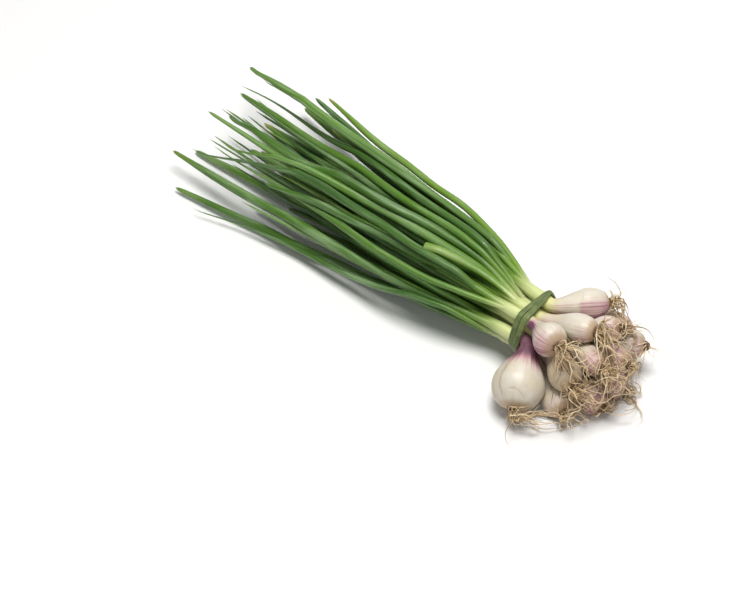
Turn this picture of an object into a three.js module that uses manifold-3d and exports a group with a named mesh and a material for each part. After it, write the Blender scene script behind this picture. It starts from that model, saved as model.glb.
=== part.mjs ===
// A bunch of spring onions, tied round the necks with a strip of leaf and laid on a table.
//
// The tie stands at the middle of the model's own layout: bulbs and roots lie ahead of it, towards +X,
// and the green leaves fan out behind it, towards -X. Z is up and the table is the plane z = 0.
// Every plant is one rope of points from the tie to its root plate, with the bulb's swelling on it, and
// a few leaves that leave one stem. The bulbs are dropped together, and the leaves are pushed off each
// other from one crosswise station to the next, so that nothing runs through anything else.

import * as THREE from "three";
import { mergeVertices } from "three/addons/utils/BufferGeometryUtils.js";
import Module from "manifold-3d";

const wasm = await Module();
wasm.setup();

// Driving dimensions, in millimetres.
const TIE_HEIGHT = 26; // middle of the tie above the table
const SEAM = 0.3; // gap where the white neck ends and the green stem begins, under the tie
const NECK_GAP = 0.5; // air between neighbouring necks at the tie
const BULB_GAP = 1.0; // air between neighbouring bulbs
const LEAF_GAP = 0.5; // air between leaves of different plants
const SINK = 1.2; // how far a resting bulb is pressed flat
const ROPE_STEP = 5; // spacing of the points along a bulb and its neck
const PLATE_RADIUS = 3.4; // root plate under a bulb
const PLATE_DEPTH = 2.6;
const ROOT_RADIUS = 0.65;
const ROOTS_PER_PLANT = 5;
const ROOT_STEP = 9;
const ROOT_STEPS = 4.2;
const ROOT_CEILING = 58; // no root reaches higher than the bulbs lie
const ROOT_HEAP = [56, -8, 10]; // the roots lean towards here and tangle
const ROOT_REACH = [14, 88]; // no root lies nearer to the tie, or further ahead of it, than this
const STRIP_WIDTH = 5.2; // the tie's strip, along X
const STRIP_THICKNESS = 1.5;
const STRIP_GAP = 0.4; // air between the strip and the necks
const STRIP_SIDES = 36;
const KNOT_ANGLE = -0.7; // low on the far side, in radians from +Y towards +Z
const KNOT_RADIUS = 4;

// Distances behind the tie at which the leaves' positions are worked out.
const STATIONS = [0.15, 11, 26, 48, 76, 110, 149, 190, 232, 275];

const CUT_PLANT = 2; // the plant with one leaf that was cut off short, on top of the bunch
const CUT_LENGTH = 66;
const CUT_ANGLE = 1.9;

const BULB_SIDES = 10;
const BULB_ROWS = 11;
const LEAF_SIDES = 5;
const STEM_SIDES = 8;
const ROOT_SIDES = 3;

const GREEN = new THREE.MeshStandardMaterial({ color: 0x4f8a3c, roughness: 0.45, metalness: 0 });
const WHITE = new THREE.MeshStandardMaterial({ color: 0xeee7dc, roughness: 0.3, metalness: 0 });
const PURPLE = new THREE.MeshStandardMaterial({ color: 0xb06a9c, roughness: 0.35, metalness: 0 });
const TAN = new THREE.MeshStandardMaterial({ color: 0xb89a6c, roughness: 0.85, metalness: 0 });
const OLIVE = new THREE.MeshStandardMaterial({ color: 0x5f7a3e, roughness: 0.6, metalness: 0 });

// Each plant: where its bulb lies from the middle of the tie (ahead, sideways, up), the bulb's radius,
// how long it is for its width, its neck's radius, how many leaves it has, and whether its skin is purple.
const PLANTS = [
  { bulb: [22, 25, 13], radius: 9.9, long: 1.35, neck: 4.4, leaves: 5, purple: false },
  { bulb: [30, 7, 14], radius: 8.6, long: 1.45, neck: 4.0, leaves: 4, purple: false },
  { bulb: [24, -10, 11], radius: 10.5, long: 0.95, neck: 3.9, leaves: 4, purple: false },
  { bulb: [25, -34, -9], radius: 16.5, long: 1.05, neck: 4.4, leaves: 5, purple: false },
  { bulb: [38, -13, -5], radius: 10.2, long: 1.1, neck: 4.2, leaves: 5, purple: false },
  { bulb: [54, 9, -3], radius: 8.6, long: 1.2, neck: 3.8, leaves: 4, purple: true },
  { bulb: [53, 27, 1], radius: 8.6, long: 1.15, neck: 3.9, leaves: 4, purple: false },
  { bulb: [54, -13, -13], radius: 9.0, long: 1.2, neck: 3.9, leaves: 4, purple: true },
  { bulb: [19, 28, -11], radius: 10.5, long: 1.1, neck: 4.3, leaves: 5, purple: false },
  { bulb: [37, 33, -6], radius: 8.8, long: 1.25, neck: 3.8, leaves: 4, purple: true },
  { bulb: [37, 17, -15], radius: 9.2, long: 1.1, neck: 4.0, leaves: 4, purple: false },
  { bulb: [27, 0, -16], radius: 8.8, long: 1.3, neck: 3.8, leaves: 4, purple: false },
  { bulb: [58, 6, -16], radius: 8.6, long: 1.1, neck: 3.8, leaves: 4, purple: true },
  { bulb: [40, 19, 11], radius: 8.2, long: 1.2, neck: 3.6, leaves: 4, purple: false },
  { bulb: [40, -27, -15], radius: 9.0, long: 1.2, neck: 3.7, leaves: 4, purple: false },
  { bulb: [47, -3, 5], radius: 8.0, long: 1.3, neck: 3.6, leaves: 4, purple: false },
];

// A repeatable draw between two numbers.
function dice(seed) {
  let state = seed;
  return (low, high) => {
    state = (state * 16807) % 2147483647;
    return low + ((high - low) * state) / 2147483647;
  };
}

const clamp = (x, low, high) => Math.min(Math.max(x, low), high);

function smooth(x, from, to) {
  const t = clamp((x - from) / (to - from), 0, 1);
  return t * t * (3 - 2 * t);
}

// The necks' places in the tie, sideways and up: they start out towards their bulbs and are packed.
function packNecks() {
  const spots = PLANTS.map(({ bulb }) => [bulb[1] * 0.5, bulb[2] * 0.7]);
  for (let round = 0; round < 400; round++) {
    const pull = round < 300 ? 0.03 : 0.004;
    for (const spot of spots) {
      spot[0] -= spot[0] * pull * 0.8;
      spot[1] -= spot[1] * pull;
    }
    for (let a = 0; a < spots.length; a++) {
      for (let b = a + 1; b < spots.length; b++) {
        const dy = spots[b][0] - spots[a][0];
        const dz = spots[b][1] - spots[a][1];
        const away = Math.hypot(dy, dz) || 1e-6;
        const short = PLANTS[a].neck + PLANTS[b].neck + NECK_GAP - away;
        if (short > 0) {
          const share = (0.5 * short) / away;
          spots[a][0] -= dy * share;
          spots[a][1] -= dz * share;
          spots[b][0] += dy * share;
          spots[b][1] += dz * share;
        }
      }
    }
  }
  return spots;
}

// A bulb's radius at a distance from its root plate: full and round below, drawn in to the neck above.
function bulbRadius(plant, distance) {
  const belly = plant.radius * 0.92 * plant.long;
  const shoulder = belly + plant.radius * 1.75 * plant.long;
  if (distance < belly) {
    const t = 1 - distance / belly;
    return PLATE_RADIUS + (plant.radius - PLATE_RADIUS) * Math.sqrt(1 - t * t);
  }
  const t = clamp((distance - belly) / (shoulder - belly), 0, 1);
  return plant.neck + (plant.radius - plant.neck) * 0.5 * (1 + Math.cos(Math.PI * t ** 0.9));
}

// The ropes from the tie to the root plates, settled on the table and against each other.
function settleBulbs(necks) {
  const ropes = PLANTS.map((plant, i) => {
    const start = [0, necks[i][0], TIE_HEIGHT + necks[i][1]];
    const centre = [plant.bulb[0], plant.bulb[1], TIE_HEIGHT + plant.bulb[2]];
    const way = centre.map((c, n) => c - start[n]);
    const reach = Math.hypot(...way);
    const past = 1 + (0.92 * plant.radius * plant.long) / reach;
    const length = reach * past * 1.03;
    const count = Math.round(length / ROPE_STEP) + 1;
    const spots = [];
    const radii = [];
    for (let n = 0; n < count; n++) {
      const t = n / (count - 1);
      const bend = smooth(t, -0.15, 0.75) * t;
      spots.push([
        start[0] + way[0] * past * t,
        start[1] + way[1] * past * bend,
        start[2] + way[2] * past * bend,
      ]);
      radii.push(bulbRadius(plant, length * (1 - t)));
    }
    return { spots, radii, length, step: length / (count - 1), plant };
  });
  for (let round = 0; round < 260; round++) {
    const loose = round < 200;
    for (const rope of ropes) {
      const aim = rope.plant.bulb;
      const last = rope.spots.length - 1;
      const middle = Math.round(last - rope.plant.radius / rope.step);
      for (let n = 2; n <= last; n++) {
        const weight = loose ? 0.02 * (n / last) : 0;
        const target = [aim[0], aim[1], TIE_HEIGHT + aim[2]];
        for (let axis = 0; axis < 3; axis++) {
          rope.spots[n][axis] += (target[axis] - rope.spots[middle][axis]) * weight;
        }
        if (loose) rope.spots[n][2] -= 0.06 * (n / last);
      }
    }
    pushRopesApart(ropes);
    for (let pass = 0; pass < 3; pass++) ropes.forEach(straighten);
  }
  return ropes;
}

// Moves points of different ropes apart where their thicknesses meet, half each.
function pushRopesApart(ropes) {
  for (let a = 0; a < ropes.length; a++) {
    for (let b = a + 1; b < ropes.length; b++) {
      for (let n = 2; n < ropes[a].spots.length; n++) {
        for (let m = 2; m < ropes[b].spots.length; m++) {
          const p = ropes[a].spots[n];
          const q = ropes[b].spots[m];
          const gap = [q[0] - p[0], q[1] - p[1], q[2] - p[2]];
          const away = Math.hypot(...gap) || 1e-6;
          const short = ropes[a].radii[n] + ropes[b].radii[m] + BULB_GAP - away;
          if (short > 0) {
            for (let axis = 0; axis < 3; axis++) {
              p[axis] -= (0.3 * short * gap[axis]) / away;
              q[axis] += (0.3 * short * gap[axis]) / away;
            }
          }
        }
      }
    }
  }
}

// Keeps a rope's length, evens out its bends, leaves the tie straight ahead and stays off the table.
function straighten(rope) {
  const { spots, radii, step } = rope;
  const last = spots.length - 1;
  for (let n = 1; n < last; n++) {
    const stiff = radii[n] > rope.plant.neck * 1.3 ? 0.5 : 0.25;
    for (let axis = 0; axis < 3; axis++) {
      const even = 0.5 * (spots[n - 1][axis] + spots[n + 1][axis]) - spots[n][axis];
      spots[n][axis] += stiff * even;
      spots[n - 1][axis] -= 0.5 * stiff * even * (n > 2 ? 1 : 0);
      spots[n + 1][axis] -= 0.5 * stiff * even;
    }
  }
  for (let n = 1; n <= last; n++) {
    const p = spots[n - 1];
    const q = spots[n];
    const way = [q[0] - p[0], q[1] - p[1], q[2] - p[2]];
    const stretch = step / (Math.hypot(...way) || 1e-6);
    for (let axis = 0; axis < 3; axis++) q[axis] = p[axis] + way[axis] * stretch;
    q[2] = Math.max(q[2], radii[n] - SINK);
  }
  spots[1] = [spots[0][0] + step, spots[0][1], spots[0][2]];
}

// How wide and how high the fan of leaves is at a distance behind the tie, against the tie itself.
const spreadSideways = (distance) => 1 + smooth(distance, -10, 115) + 0.3 * smooth(distance, 110, 300);
const spreadUp = (distance) => 1 + 0.3 * smooth(distance, 0, 160);
const fanHeight = (distance) => TIE_HEIGHT - 1.5 * smooth(distance, 20, 220);

// The stems and leaves as positions at the stations, before they are pushed apart.
function drawLeaves(necks) {
  const draw = dice(4711);
  const strands = [];
  PLANTS.forEach((plant, i) => {
    const [side, up] = necks[i];
    const fork = draw(14, 34);
    const place = (distance, offset, drift) => {
      const far = smooth(distance, 30, 300);
      return [
        (side + offset[0]) * spreadSideways(distance) + drift[0] * far,
        fanHeight(distance) + (up + offset[1]) * spreadUp(distance) + drift[1] * far,
      ];
    };
    strands.push({
      plant: i,
      stem: true,
      reach: fork + 16,
      radii: STATIONS.map((d) => plant.neck * (1 - 0.32 * smooth(d, 4, fork + 16))),
      spots: STATIONS.map((d) => place(d, [0, 0], [0, 0])),
    });
    const turn = i === CUT_PLANT ? CUT_ANGLE : draw(0, 2 * Math.PI);
    for (let j = 0; j < plant.leaves; j++) {
      const angle = turn + (2 * Math.PI * j) / plant.leaves + draw(-0.4, 0.4);
      const thick = draw(2.3, 3.25);
      const cut = i === CUT_PLANT && j === 0;
      const long = draw(0, 1) < 0.2 ? draw(140, 200) : draw(200, 274);
      const reach = cut ? CUT_LENGTH : long;
      const blunt = draw(0, 1) < 0.45 || cut;
      const outward = [side / 21, up / 18];
      const stray = draw(0, 1) ** 2 * 26;
      const drift = [draw(-14, 14) + outward[0] * stray, draw(-5, 6) + Math.max(outward[1], 0) * stray];
      const wave = [draw(-9, 9), draw(-4.5, 4.5)];
      const phase = draw(0, Math.PI);
      const pitch = Math.PI / draw(110, 190);
      strands.push({
        plant: i,
        stem: false,
        reach,
        blunt,
        radii: STATIONS.map((d) => leafRadius(thick, d, reach, blunt)),
        spots: STATIONS.map((d) => {
          const out = 1.1 + 4.4 * smooth(d, fork, 120);
          const sway = Math.sin(phase + d * pitch) * smooth(d, 30, 150);
          const spot = place(d, [out * Math.cos(angle), out * Math.sin(angle)], drift);
          return [spot[0] + wave[0] * sway, spot[1] + wave[1] * sway];
        }),
      });
    }
  });
  return strands;
}

// A leaf's radius: slim where it leaves the stem, full in the middle, drawn out or blunt at its tip.
function leafRadius(thick, distance, reach, blunt) {
  const rise = 0.8 + 0.2 * smooth(distance, 20, 70);
  const tip = blunt ? 0.68 : 0.18;
  const from = blunt ? Math.max(reach - 70, reach * 0.7) : reach * 0.5;
  return thick * rise * (1 - (1 - tip) * smooth(distance, from, reach));
}

// Pushes leaves of different plants apart, lets them sink onto each other and the table, and evens them.
function settleLeaves(strands) {
  const rounds = 320;
  for (let round = 0; round < rounds; round++) {
    const loose = round < rounds - 120;
    const moves = strands.map((s) => s.spots.map(() => [0, 0]));
    for (let a = 0; a < strands.length; a++) {
      for (let b = a + 1; b < strands.length; b++) {
        if (strands[a].plant !== strands[b].plant) parryPair(strands[a], strands[b], moves[a], moves[b]);
      }
    }
    strands.forEach((strand, i) => {
      const { spots, radii } = strand;
      for (let k = 2; k < spots.length; k++) {
        spots[k][0] += moves[i][k][0];
        spots[k][1] += moves[i][k][1] - (loose && !strand.stem ? 0.05 * smooth(STATIONS[k], 20, 120) : 0);
      }
      if (loose) evenOut(spots);
      spots.forEach((spot, k) => {
        spot[1] = Math.max(spot[1], radii[k] + 0.02);
      });
    });
  }
}

// Adds to the moves of two strands what keeps them apart at their closest between each two stations.
function parryPair(one, other, oneMoves, otherMoves) {
  for (let k = 0; k + 1 < STATIONS.length; k++) {
    if (STATIONS[k] >= one.reach || STATIONS[k] >= other.reach) break;
    const p = one.spots;
    const q = other.spots;
    const near = [q[k][0] - p[k][0], q[k][1] - p[k][1]];
    const step = [q[k + 1][0] - p[k + 1][0] - near[0], q[k + 1][1] - p[k + 1][1] - near[1]];
    const square = step[0] * step[0] + step[1] * step[1];
    const t = square > 1e-9 ? clamp(-(near[0] * step[0] + near[1] * step[1]) / square, 0, 1) : 0;
    const gap = [near[0] + step[0] * t, near[1] + step[1] * t];
    const away = Math.hypot(...gap) || 1e-6;
    const wide = (one.radii[k] + other.radii[k]) * (1 - t) + (one.radii[k + 1] + other.radii[k + 1]) * t;
    const short = wide + LEAF_GAP - away;
    if (short > 0) {
      for (let axis = 0; axis < 2; axis++) {
        const move = (0.22 * short * gap[axis]) / away;
        oneMoves[k][axis] -= move * (1 - t);
        oneMoves[k + 1][axis] -= move * t;
        otherMoves[k][axis] += move * (1 - t);
        otherMoves[k + 1][axis] += move * t;
      }
    }
  }
}

// Draws each station a little towards the straight line between its neighbours.
function evenOut(spots) {
  for (let k = 2; k + 1 < spots.length; k++) {
    const t = (STATIONS[k] - STATIONS[k - 1]) / (STATIONS[k + 1] - STATIONS[k - 1]);
    for (let axis = 0; axis < 2; axis++) {
      const straight = spots[k - 1][axis] * (1 - t) + spots[k + 1][axis] * t;
      spots[k][axis] += 0.12 * (straight - spots[k][axis]);
    }
  }
}

// A closed tube: a unit cylinder whose rows are moved onto rings, each a centre, a radius and two axes.
function loft(rings, sides) {
  const cylinder = new THREE.CylinderGeometry(1, 1, 1, sides, rings.length - 1);
  const spots = cylinder.attributes.position;
  for (let n = 0; n < spots.count; n++) {
    const { centre, radius, across, up } = rings[Math.round((0.5 - spots.getY(n)) * (rings.length - 1))];
    const x = spots.getX(n) * radius;
    const z = spots.getZ(n) * radius;
    const at = centre.clone().addScaledVector(across, x).addScaledVector(up, z);
    spots.setXYZ(n, at.x, at.y, at.z);
  }
  return cylinder;
}

function solid(geometry) {
  const bare = geometry.clone();
  bare.deleteAttribute("normal");
  bare.deleteAttribute("uv");
  const merged = mergeVertices(bare, 1e-4);
  return new wasm.Manifold(
    new wasm.Mesh({
      numProp: 3,
      vertProperties: new Float32Array(merged.attributes.position.array),
      triVerts: new Uint32Array(merged.index.array),
    }),
  );
}

function geometryOf(made) {
  const { vertProperties, triVerts } = made.getMesh();
  return new THREE.BufferGeometry()
    .setAttribute("position", new THREE.BufferAttribute(new Float32Array(vertProperties), 3))
    .setIndex(new THREE.BufferAttribute(new Uint32Array(triVerts), 1));
}

// Rings across a curve at the given shares of its length, none of them twisted against the last.
function ringsAlong(curve, shares, radiusAt) {
  const across = new THREE.Vector3();
  const up = new THREE.Vector3(0, 0, 1);
  return shares.map((share) => {
    const centre = curve.getPointAt(clamp(share, 0, 1));
    const ahead = curve.getTangentAt(clamp(share, 0, 1));
    across.crossVectors(up, ahead).normalize();
    up.crossVectors(ahead, across).normalize();
    return { centre, radius: radiusAt(share), across: across.clone(), up: up.clone() };
  });
}

// Rings that stand at the points of a bent line, square to the bend, none of them twisted either.
function ringsThrough(points, radiusAt) {
  const spots = points.map((p) => new THREE.Vector3(...p));
  const across = new THREE.Vector3();
  const up = new THREE.Vector3(0.31, 0.17, 0.93);
  return spots.map((centre, n) => {
    const next = spots[Math.min(n + 1, spots.length - 1)];
    const ahead = next.clone().sub(spots[Math.max(n - 1, 0)]).normalize();
    across.crossVectors(up, ahead).normalize();
    up.crossVectors(ahead, across).normalize();
    return { centre, radius: radiusAt(n / (spots.length - 1)), across: across.clone(), up: up.clone() };
  });
}

// Shares of a bulb's length at which its rings stand, closer together on the round bulb.
function bulbShares(rope) {
  const belly = 1 - (rope.plant.radius * 0.92 * rope.plant.long) / rope.length;
  const rows = [];
  for (let n = 0; n < BULB_ROWS; n++) {
    const t = n / (BULB_ROWS - 1);
    const round = Math.sin(((t - 0.6) / 0.4) * Math.PI * 0.5);
    rows.push(t < 0.6 ? (belly * t) / 0.6 : belly + (1 - belly) * round);
  }
  return rows;
}

// White bulb and neck, from the tie to the root plate, pressed flat where it rests on the table.
function makeBulb(rope) {
  const curve = new THREE.CatmullRomCurve3(rope.spots.map((p) => new THREE.Vector3(...p)));
  curve.arcLengthDivisions = 400;
  const seam = SEAM / 2 / rope.length;
  const shares = bulbShares(rope).map((share) => Math.max(share, seam));
  const rings = ringsAlong(curve, shares, (share) => bulbRadius(rope.plant, rope.length * (1 - share)));
  const bulb = solid(loft(rings, BULB_SIDES));
  const table = solid(new THREE.BoxGeometry(400, 400, 40).translate(0, 0, -20));
  return bulb.boundingBox().min[2] < 0 ? bulb.subtract(table) : bulb;
}

// Rings of a stem or leaf at the stations that it reaches, square to X, with its tip between two of them.
function leafRings(strand, first) {
  const across = new THREE.Vector3(0, 1, 0);
  const up = new THREE.Vector3(0, 0, -1);
  const ring = (distance, [side, height], radius) => ({
    centre: new THREE.Vector3(-distance, side, height),
    radius,
    across,
    up,
  });
  const rings = [];
  const { spots, radii, reach } = strand;
  let k = first;
  while (STATIONS[k] < reach - 4) {
    rings.push(ring(STATIONS[k], spots[k], radii[k]));
    k += 1;
  }
  const t = (reach - STATIONS[k - 1]) / (STATIONS[k] - STATIONS[k - 1]);
  const tip = spots[k].map((value, axis) => spots[k - 1][axis] * (1 - t) + value * t);
  rings.push(ring(reach, tip, radii[k - 1] * (1 - t) + radii[k] * t));
  return rings;
}

// Green stem and leaves of one plant as one body.
function makeGreens(strands) {
  const pieces = strands.map((strand) => {
    const rings = leafRings(strand, strand.stem ? 0 : 1);
    return solid(loft(rings, strand.stem ? STEM_SIDES : LEAF_SIDES));
  });
  return pieces.reduce((whole, piece) => whole.add(piece)).simplify(0.05);
}

// Round sections of all that runs through the tie, sideways, up and radius, at its middle and its edges.
function sectionsInTie(necks, ropes, strands) {
  const edge = STRIP_WIDTH + 1;
  return PLANTS.flatMap((plant, i) => {
    const ahead = ropes[i].spots[1].map((c, axis) => c + (ropes[i].spots[2][axis] - c) * 0.3);
    const stem = strands.find((strand) => strand.plant === i && strand.stem);
    const t = (edge - STATIONS[0]) / (STATIONS[1] - STATIONS[0]);
    const behind = stem.spots[1].map((c, axis) => stem.spots[0][axis] * (1 - t) + c * t);
    return [
      [necks[i][0], TIE_HEIGHT + necks[i][1], plant.neck],
      [ahead[1], ahead[2], plant.neck],
      [behind[0], behind[1], plant.neck],
    ];
  });
}

// A point of a strip pulled tight round those sections: it touches the one that reaches furthest.
function tiePoint(sections, angle, clearance) {
  const way = [Math.cos(angle), Math.sin(angle)];
  const reach = ([side, up, radius]) => side * way[0] + up * way[1] + radius;
  const outermost = sections.reduce((best, section) => (reach(section) > reach(best) ? section : best));
  const out = outermost[2] + clearance;
  return [outermost[0] + way[0] * out, outermost[1] + way[1] * out];
}

// One turn of the strip: a ring of oblong section that wanders forwards and back as it goes round.
function makeTurn(sections, lead, lift) {
  const ring = new THREE.TorusGeometry(2, 1, 4, STRIP_SIDES);
  const spots = ring.attributes.position;
  for (let n = 0; n < spots.count; n++) {
    const column = n % (STRIP_SIDES + 1);
    const corner = Math.floor(n / (STRIP_SIDES + 1)) % 4;
    const angle = (2 * Math.PI * (column % STRIP_SIDES)) / STRIP_SIDES;
    const outer = corner === 0 || corner === 1;
    const front = corner === 1 || corner === 2;
    const clearance = STRIP_GAP + lift + (outer ? STRIP_THICKNESS : 0);
    const [side, up] = tiePoint(sections, angle, clearance);
    const middle = lead * Math.cos(angle - KNOT_ANGLE);
    spots.setXYZ(n, middle + (front ? 0.5 : -0.5) * STRIP_WIDTH, side, up);
  }
  return solid(ring);
}

// A flat tail of the strip, from the knot out along a list of points.
function makeTail(points, width) {
  const curve = new THREE.CatmullRomCurve3(points.map((p) => new THREE.Vector3(...p)));
  const rings = ringsAlong(curve, [0, 0.2, 0.4, 0.6, 0.8, 1], () => 1);
  for (const ring of rings) {
    ring.across.multiplyScalar(width / Math.SQRT2);
    ring.up.multiplyScalar(STRIP_THICKNESS / Math.SQRT2);
  }
  return solid(loft(rings, 4));
}

// The tie: two turns of a strip of leaf, a knot low on the far side and two tails.
function makeTie(sections) {
  const [side, up] = tiePoint(sections, KNOT_ANGLE, STRIP_GAP + 0.4 + KNOT_RADIUS * 0.8);
  const knot = new THREE.SphereGeometry(KNOT_RADIUS, 8, 6).scale(1.3, 0.95, 0.8);
  const way = [Math.cos(KNOT_ANGLE), Math.sin(KNOT_ANGLE)];
  const tail = (ahead, drop, width) =>
    makeTail(
      [
        [0, side, up],
        [ahead * 0.35, side + way[0] * 3.4, up + way[1] * 2.2],
        [ahead * 0.75, side + way[0] * 7.5, Math.max(up - drop * 0.6, 2.5)],
        [ahead, side + way[0] * 12, Math.max(up - drop, 1.4)],
      ],
      width,
    );
  return [
    makeTurn(sections, 2.2, 0),
    makeTurn(sections, -2.2, 0.5),
    solid(knot.translate(0, side, up)),
    tail(-26, 9, 4.2),
    tail(-13, 3, 3.6),
  ].reduce((whole, piece) => whole.add(piece));
}

// How far a point is outside the bulbs, necks and other plants' root plates, below nothing inside one.
function clearOfBulbs(point, ropes, own) {
  let least = Infinity;
  ropes.forEach(({ spots, radii }, i) => {
    let inside = Infinity;
    let beyond = 0;
    let plate = Infinity;
    for (let n = 1; n < spots.length; n++) {
      const p = spots[n - 1];
      const q = spots[n];
      const way = [q[0] - p[0], q[1] - p[1], q[2] - p[2]];
      const from = [point[0] - p[0], point[1] - p[1], point[2] - p[2]];
      const square = way[0] * way[0] + way[1] * way[1] + way[2] * way[2];
      const along = (from[0] * way[0] + from[1] * way[1] + from[2] * way[2]) / square;
      const t = clamp(along, 0, 1);
      const off = Math.hypot(from[0] - way[0] * t, from[1] - way[1] * t, from[2] - way[2] * t);
      inside = Math.min(inside, off - radii[n - 1] * (1 - t) - radii[n] * t);
      const long = Math.sqrt(square);
      beyond = (along - 1) * long;
      plate = Math.hypot(...from.map((c, axis) => c - way[axis] * (1 + PLATE_DEPTH / 2 / long)));
    }
    least = Math.min(least, Math.max(inside, beyond), i === own ? Infinity : plate - PLATE_RADIUS - 0.5);
  });
  return least;
}

// True if a root's next step stays off the table, the tie, the bulbs and the roots of other plants. The
// first step is only looked at from halfway, because it starts in its own root plate.
function stepIsClear(from, to, first, plant, ropes, grown) {
  const steps = 6;
  for (let n = first ? 4 : 1; n <= steps; n++) {
    const at = from.map((c, axis) => c + ((to[axis] - c) * n) / steps);
    if (at[2] < ROOT_RADIUS + 0.1 || at[2] > ROOT_CEILING) return false;
    if (at[0] < ROOT_REACH[0] || at[0] > ROOT_REACH[1]) return false;
    if (clearOfBulbs(at, ropes, plant) < ROOT_RADIUS + 0.35) return false;
    for (const other of grown) {
      const close = 2 * ROOT_RADIUS + 0.75;
      if (other.plant === plant) continue;
      const gap = [at[0] - other.at[0], at[1] - other.at[1], at[2] - other.at[2]];
      if (Math.abs(gap[0]) < close && Math.abs(gap[1]) < close && Math.hypot(...gap) < close) return false;
    }
  }
  return true;
}

const unit = (way) => way.map((c) => c / Math.hypot(...way));

// The next point of a root: it bends by chance, leans towards the heap and is drawn again until clear.
function nextStep(draw, root, step, plant, ropes, grown) {
  const from = root.points[root.points.length - 1];
  const home = unit(ROOT_HEAP.map((c, axis) => c - from[axis]));
  for (let attempt = 0; attempt < 14; attempt++) {
    const wild = root.curl * (1 + attempt * 0.18);
    const bend = [draw(-wild, wild), draw(-wild, wild), draw(-wild, wild)];
    const lean = home.map((c, axis) => (step ? c * 0.6 + root.sweep[axis] * 0.35 : 0));
    const way = unit(root.heading.map((c, axis) => c + bend[axis] + lean[axis]));
    const long = step ? ROOT_STEP : ROOT_STEP * 0.8;
    const to = from.map((c, axis) => c + way[axis] * long);
    if (stepIsClear(from, to, step === 0, plant, ropes, grown)) return { to, way };
  }
  return null;
}

// Curling roots of every plant, one after another.
function growRoots(ropes) {
  const draw = dice(90210);
  const grown = [];
  return ropes.map((rope, plant) => {
    const last = rope.spots.length - 1;
    const base = rope.spots[last];
    const ahead = unit(base.map((c, axis) => c - rope.spots[last - 1][axis]));
    const sweep = [draw(-0.2, 0.3), draw(-0.5, 0.2), draw(-1, -0.3)];
    const roots = [];
    for (let n = 0; n < ROOTS_PER_PLANT; n++) {
      const out = [draw(-1, 1), draw(-1, 1), draw(-1, 1)];
      const start = base.map((c, axis) => c + ahead[axis] * 1.6 + out[axis] * 0.9);
      const heading = unit(ahead.map((c, axis) => c + out[axis] * 0.75));
      const root = { points: [start], heading, curl: draw(0.45, 0.95), sweep };
      const steps = Math.round(draw(ROOT_STEPS - 2, ROOT_STEPS + 1));
      for (let step = 0; step < steps; step++) {
        const next = nextStep(draw, root, step, plant, ropes, grown);
        if (!next) break;
        root.points.push(next.to);
        root.heading = next.way;
      }
      if (root.points.length < 3) continue;
      roots.push(root.points);
      for (let k = 1; k < root.points.length; k++) {
        for (let m = 1; m <= 8; m++) {
          const from = root.points[k - 1];
          grown.push({ plant, at: from.map((c, axis) => c + ((root.points[k][axis] - c) * m) / 8) });
        }
      }
    }
    return { base, ahead, roots };
  });
}

// Root plate and roots of one plant as one body, with the pockets that crossing roots enclose filled.
function makeRoots({ base, ahead, roots }) {
  const rows = [SEAM, SEAM + PLATE_DEPTH / 2, SEAM + PLATE_DEPTH];
  const axis = rows.map((row) => base.map((c, n) => c + ahead[n] * row));
  const plate = solid(loft(ringsThrough(axis, (t) => PLATE_RADIUS * (0.9 - 0.35 * t)), 8));
  return roots
    .map((points) => solid(loft(ringsThrough(points, (t) => ROOT_RADIUS * (1 - 0.35 * t)), ROOT_SIDES)))
    .reduce((whole, piece) => whole.add(piece), plate)
    .decompose()
    .reduce((best, piece) => (piece.volume() > best.volume() ? piece : best));
}

const root = new THREE.Group();

function addMesh(name, geometry, material) {
  const mesh = new THREE.Mesh(geometry, material);
  mesh.name = name;
  root.add(mesh);
}

const label = (i) => String(i + 1).padStart(2, "0");

const necks = packNecks();
const ropes = settleBulbs(necks);
const strands = drawLeaves(necks);
settleLeaves(strands);

const rootSets = growRoots(ropes);
ropes.forEach((rope, i) => {
  addMesh(`roots_${label(i)}`, geometryOf(makeRoots(rootSets[i])), TAN);
  addMesh(`bulb_${label(i)}`, geometryOf(makeBulb(rope)), rope.plant.purple ? PURPLE : WHITE);
  const own = strands.filter((strand) => strand.plant === i);
  addMesh(`leaves_${label(i)}`, geometryOf(makeGreens(own)), GREEN);
});

addMesh("tie", geometryOf(makeTie(sectionsInTie(necks, ropes, strands))), OLIVE);

// The origin goes to the middle of the bunch's footprint on the table.
const box = new THREE.Box3().setFromObject(root);
const middle = box.getCenter(new THREE.Vector3());
for (const mesh of root.children) mesh.geometry.translate(-middle.x, -middle.y, -box.min.z);

export default root;
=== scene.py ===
"""A bunch of spring onions tied round the necks, laid on a table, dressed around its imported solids.

The bunch is laid out again from the same numbers as the solids, in millimetres, with the middle of the
tie at x = 0, the bulbs towards +X, the leaves towards -X and the table at z = 0. A plant is a rope of
points from the tie to its root plate, and leaves that part from one stem. Every skin is a grid that is
wrapped round such a line, moved into the model's frame and turned into metres.
"""

import math

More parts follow.
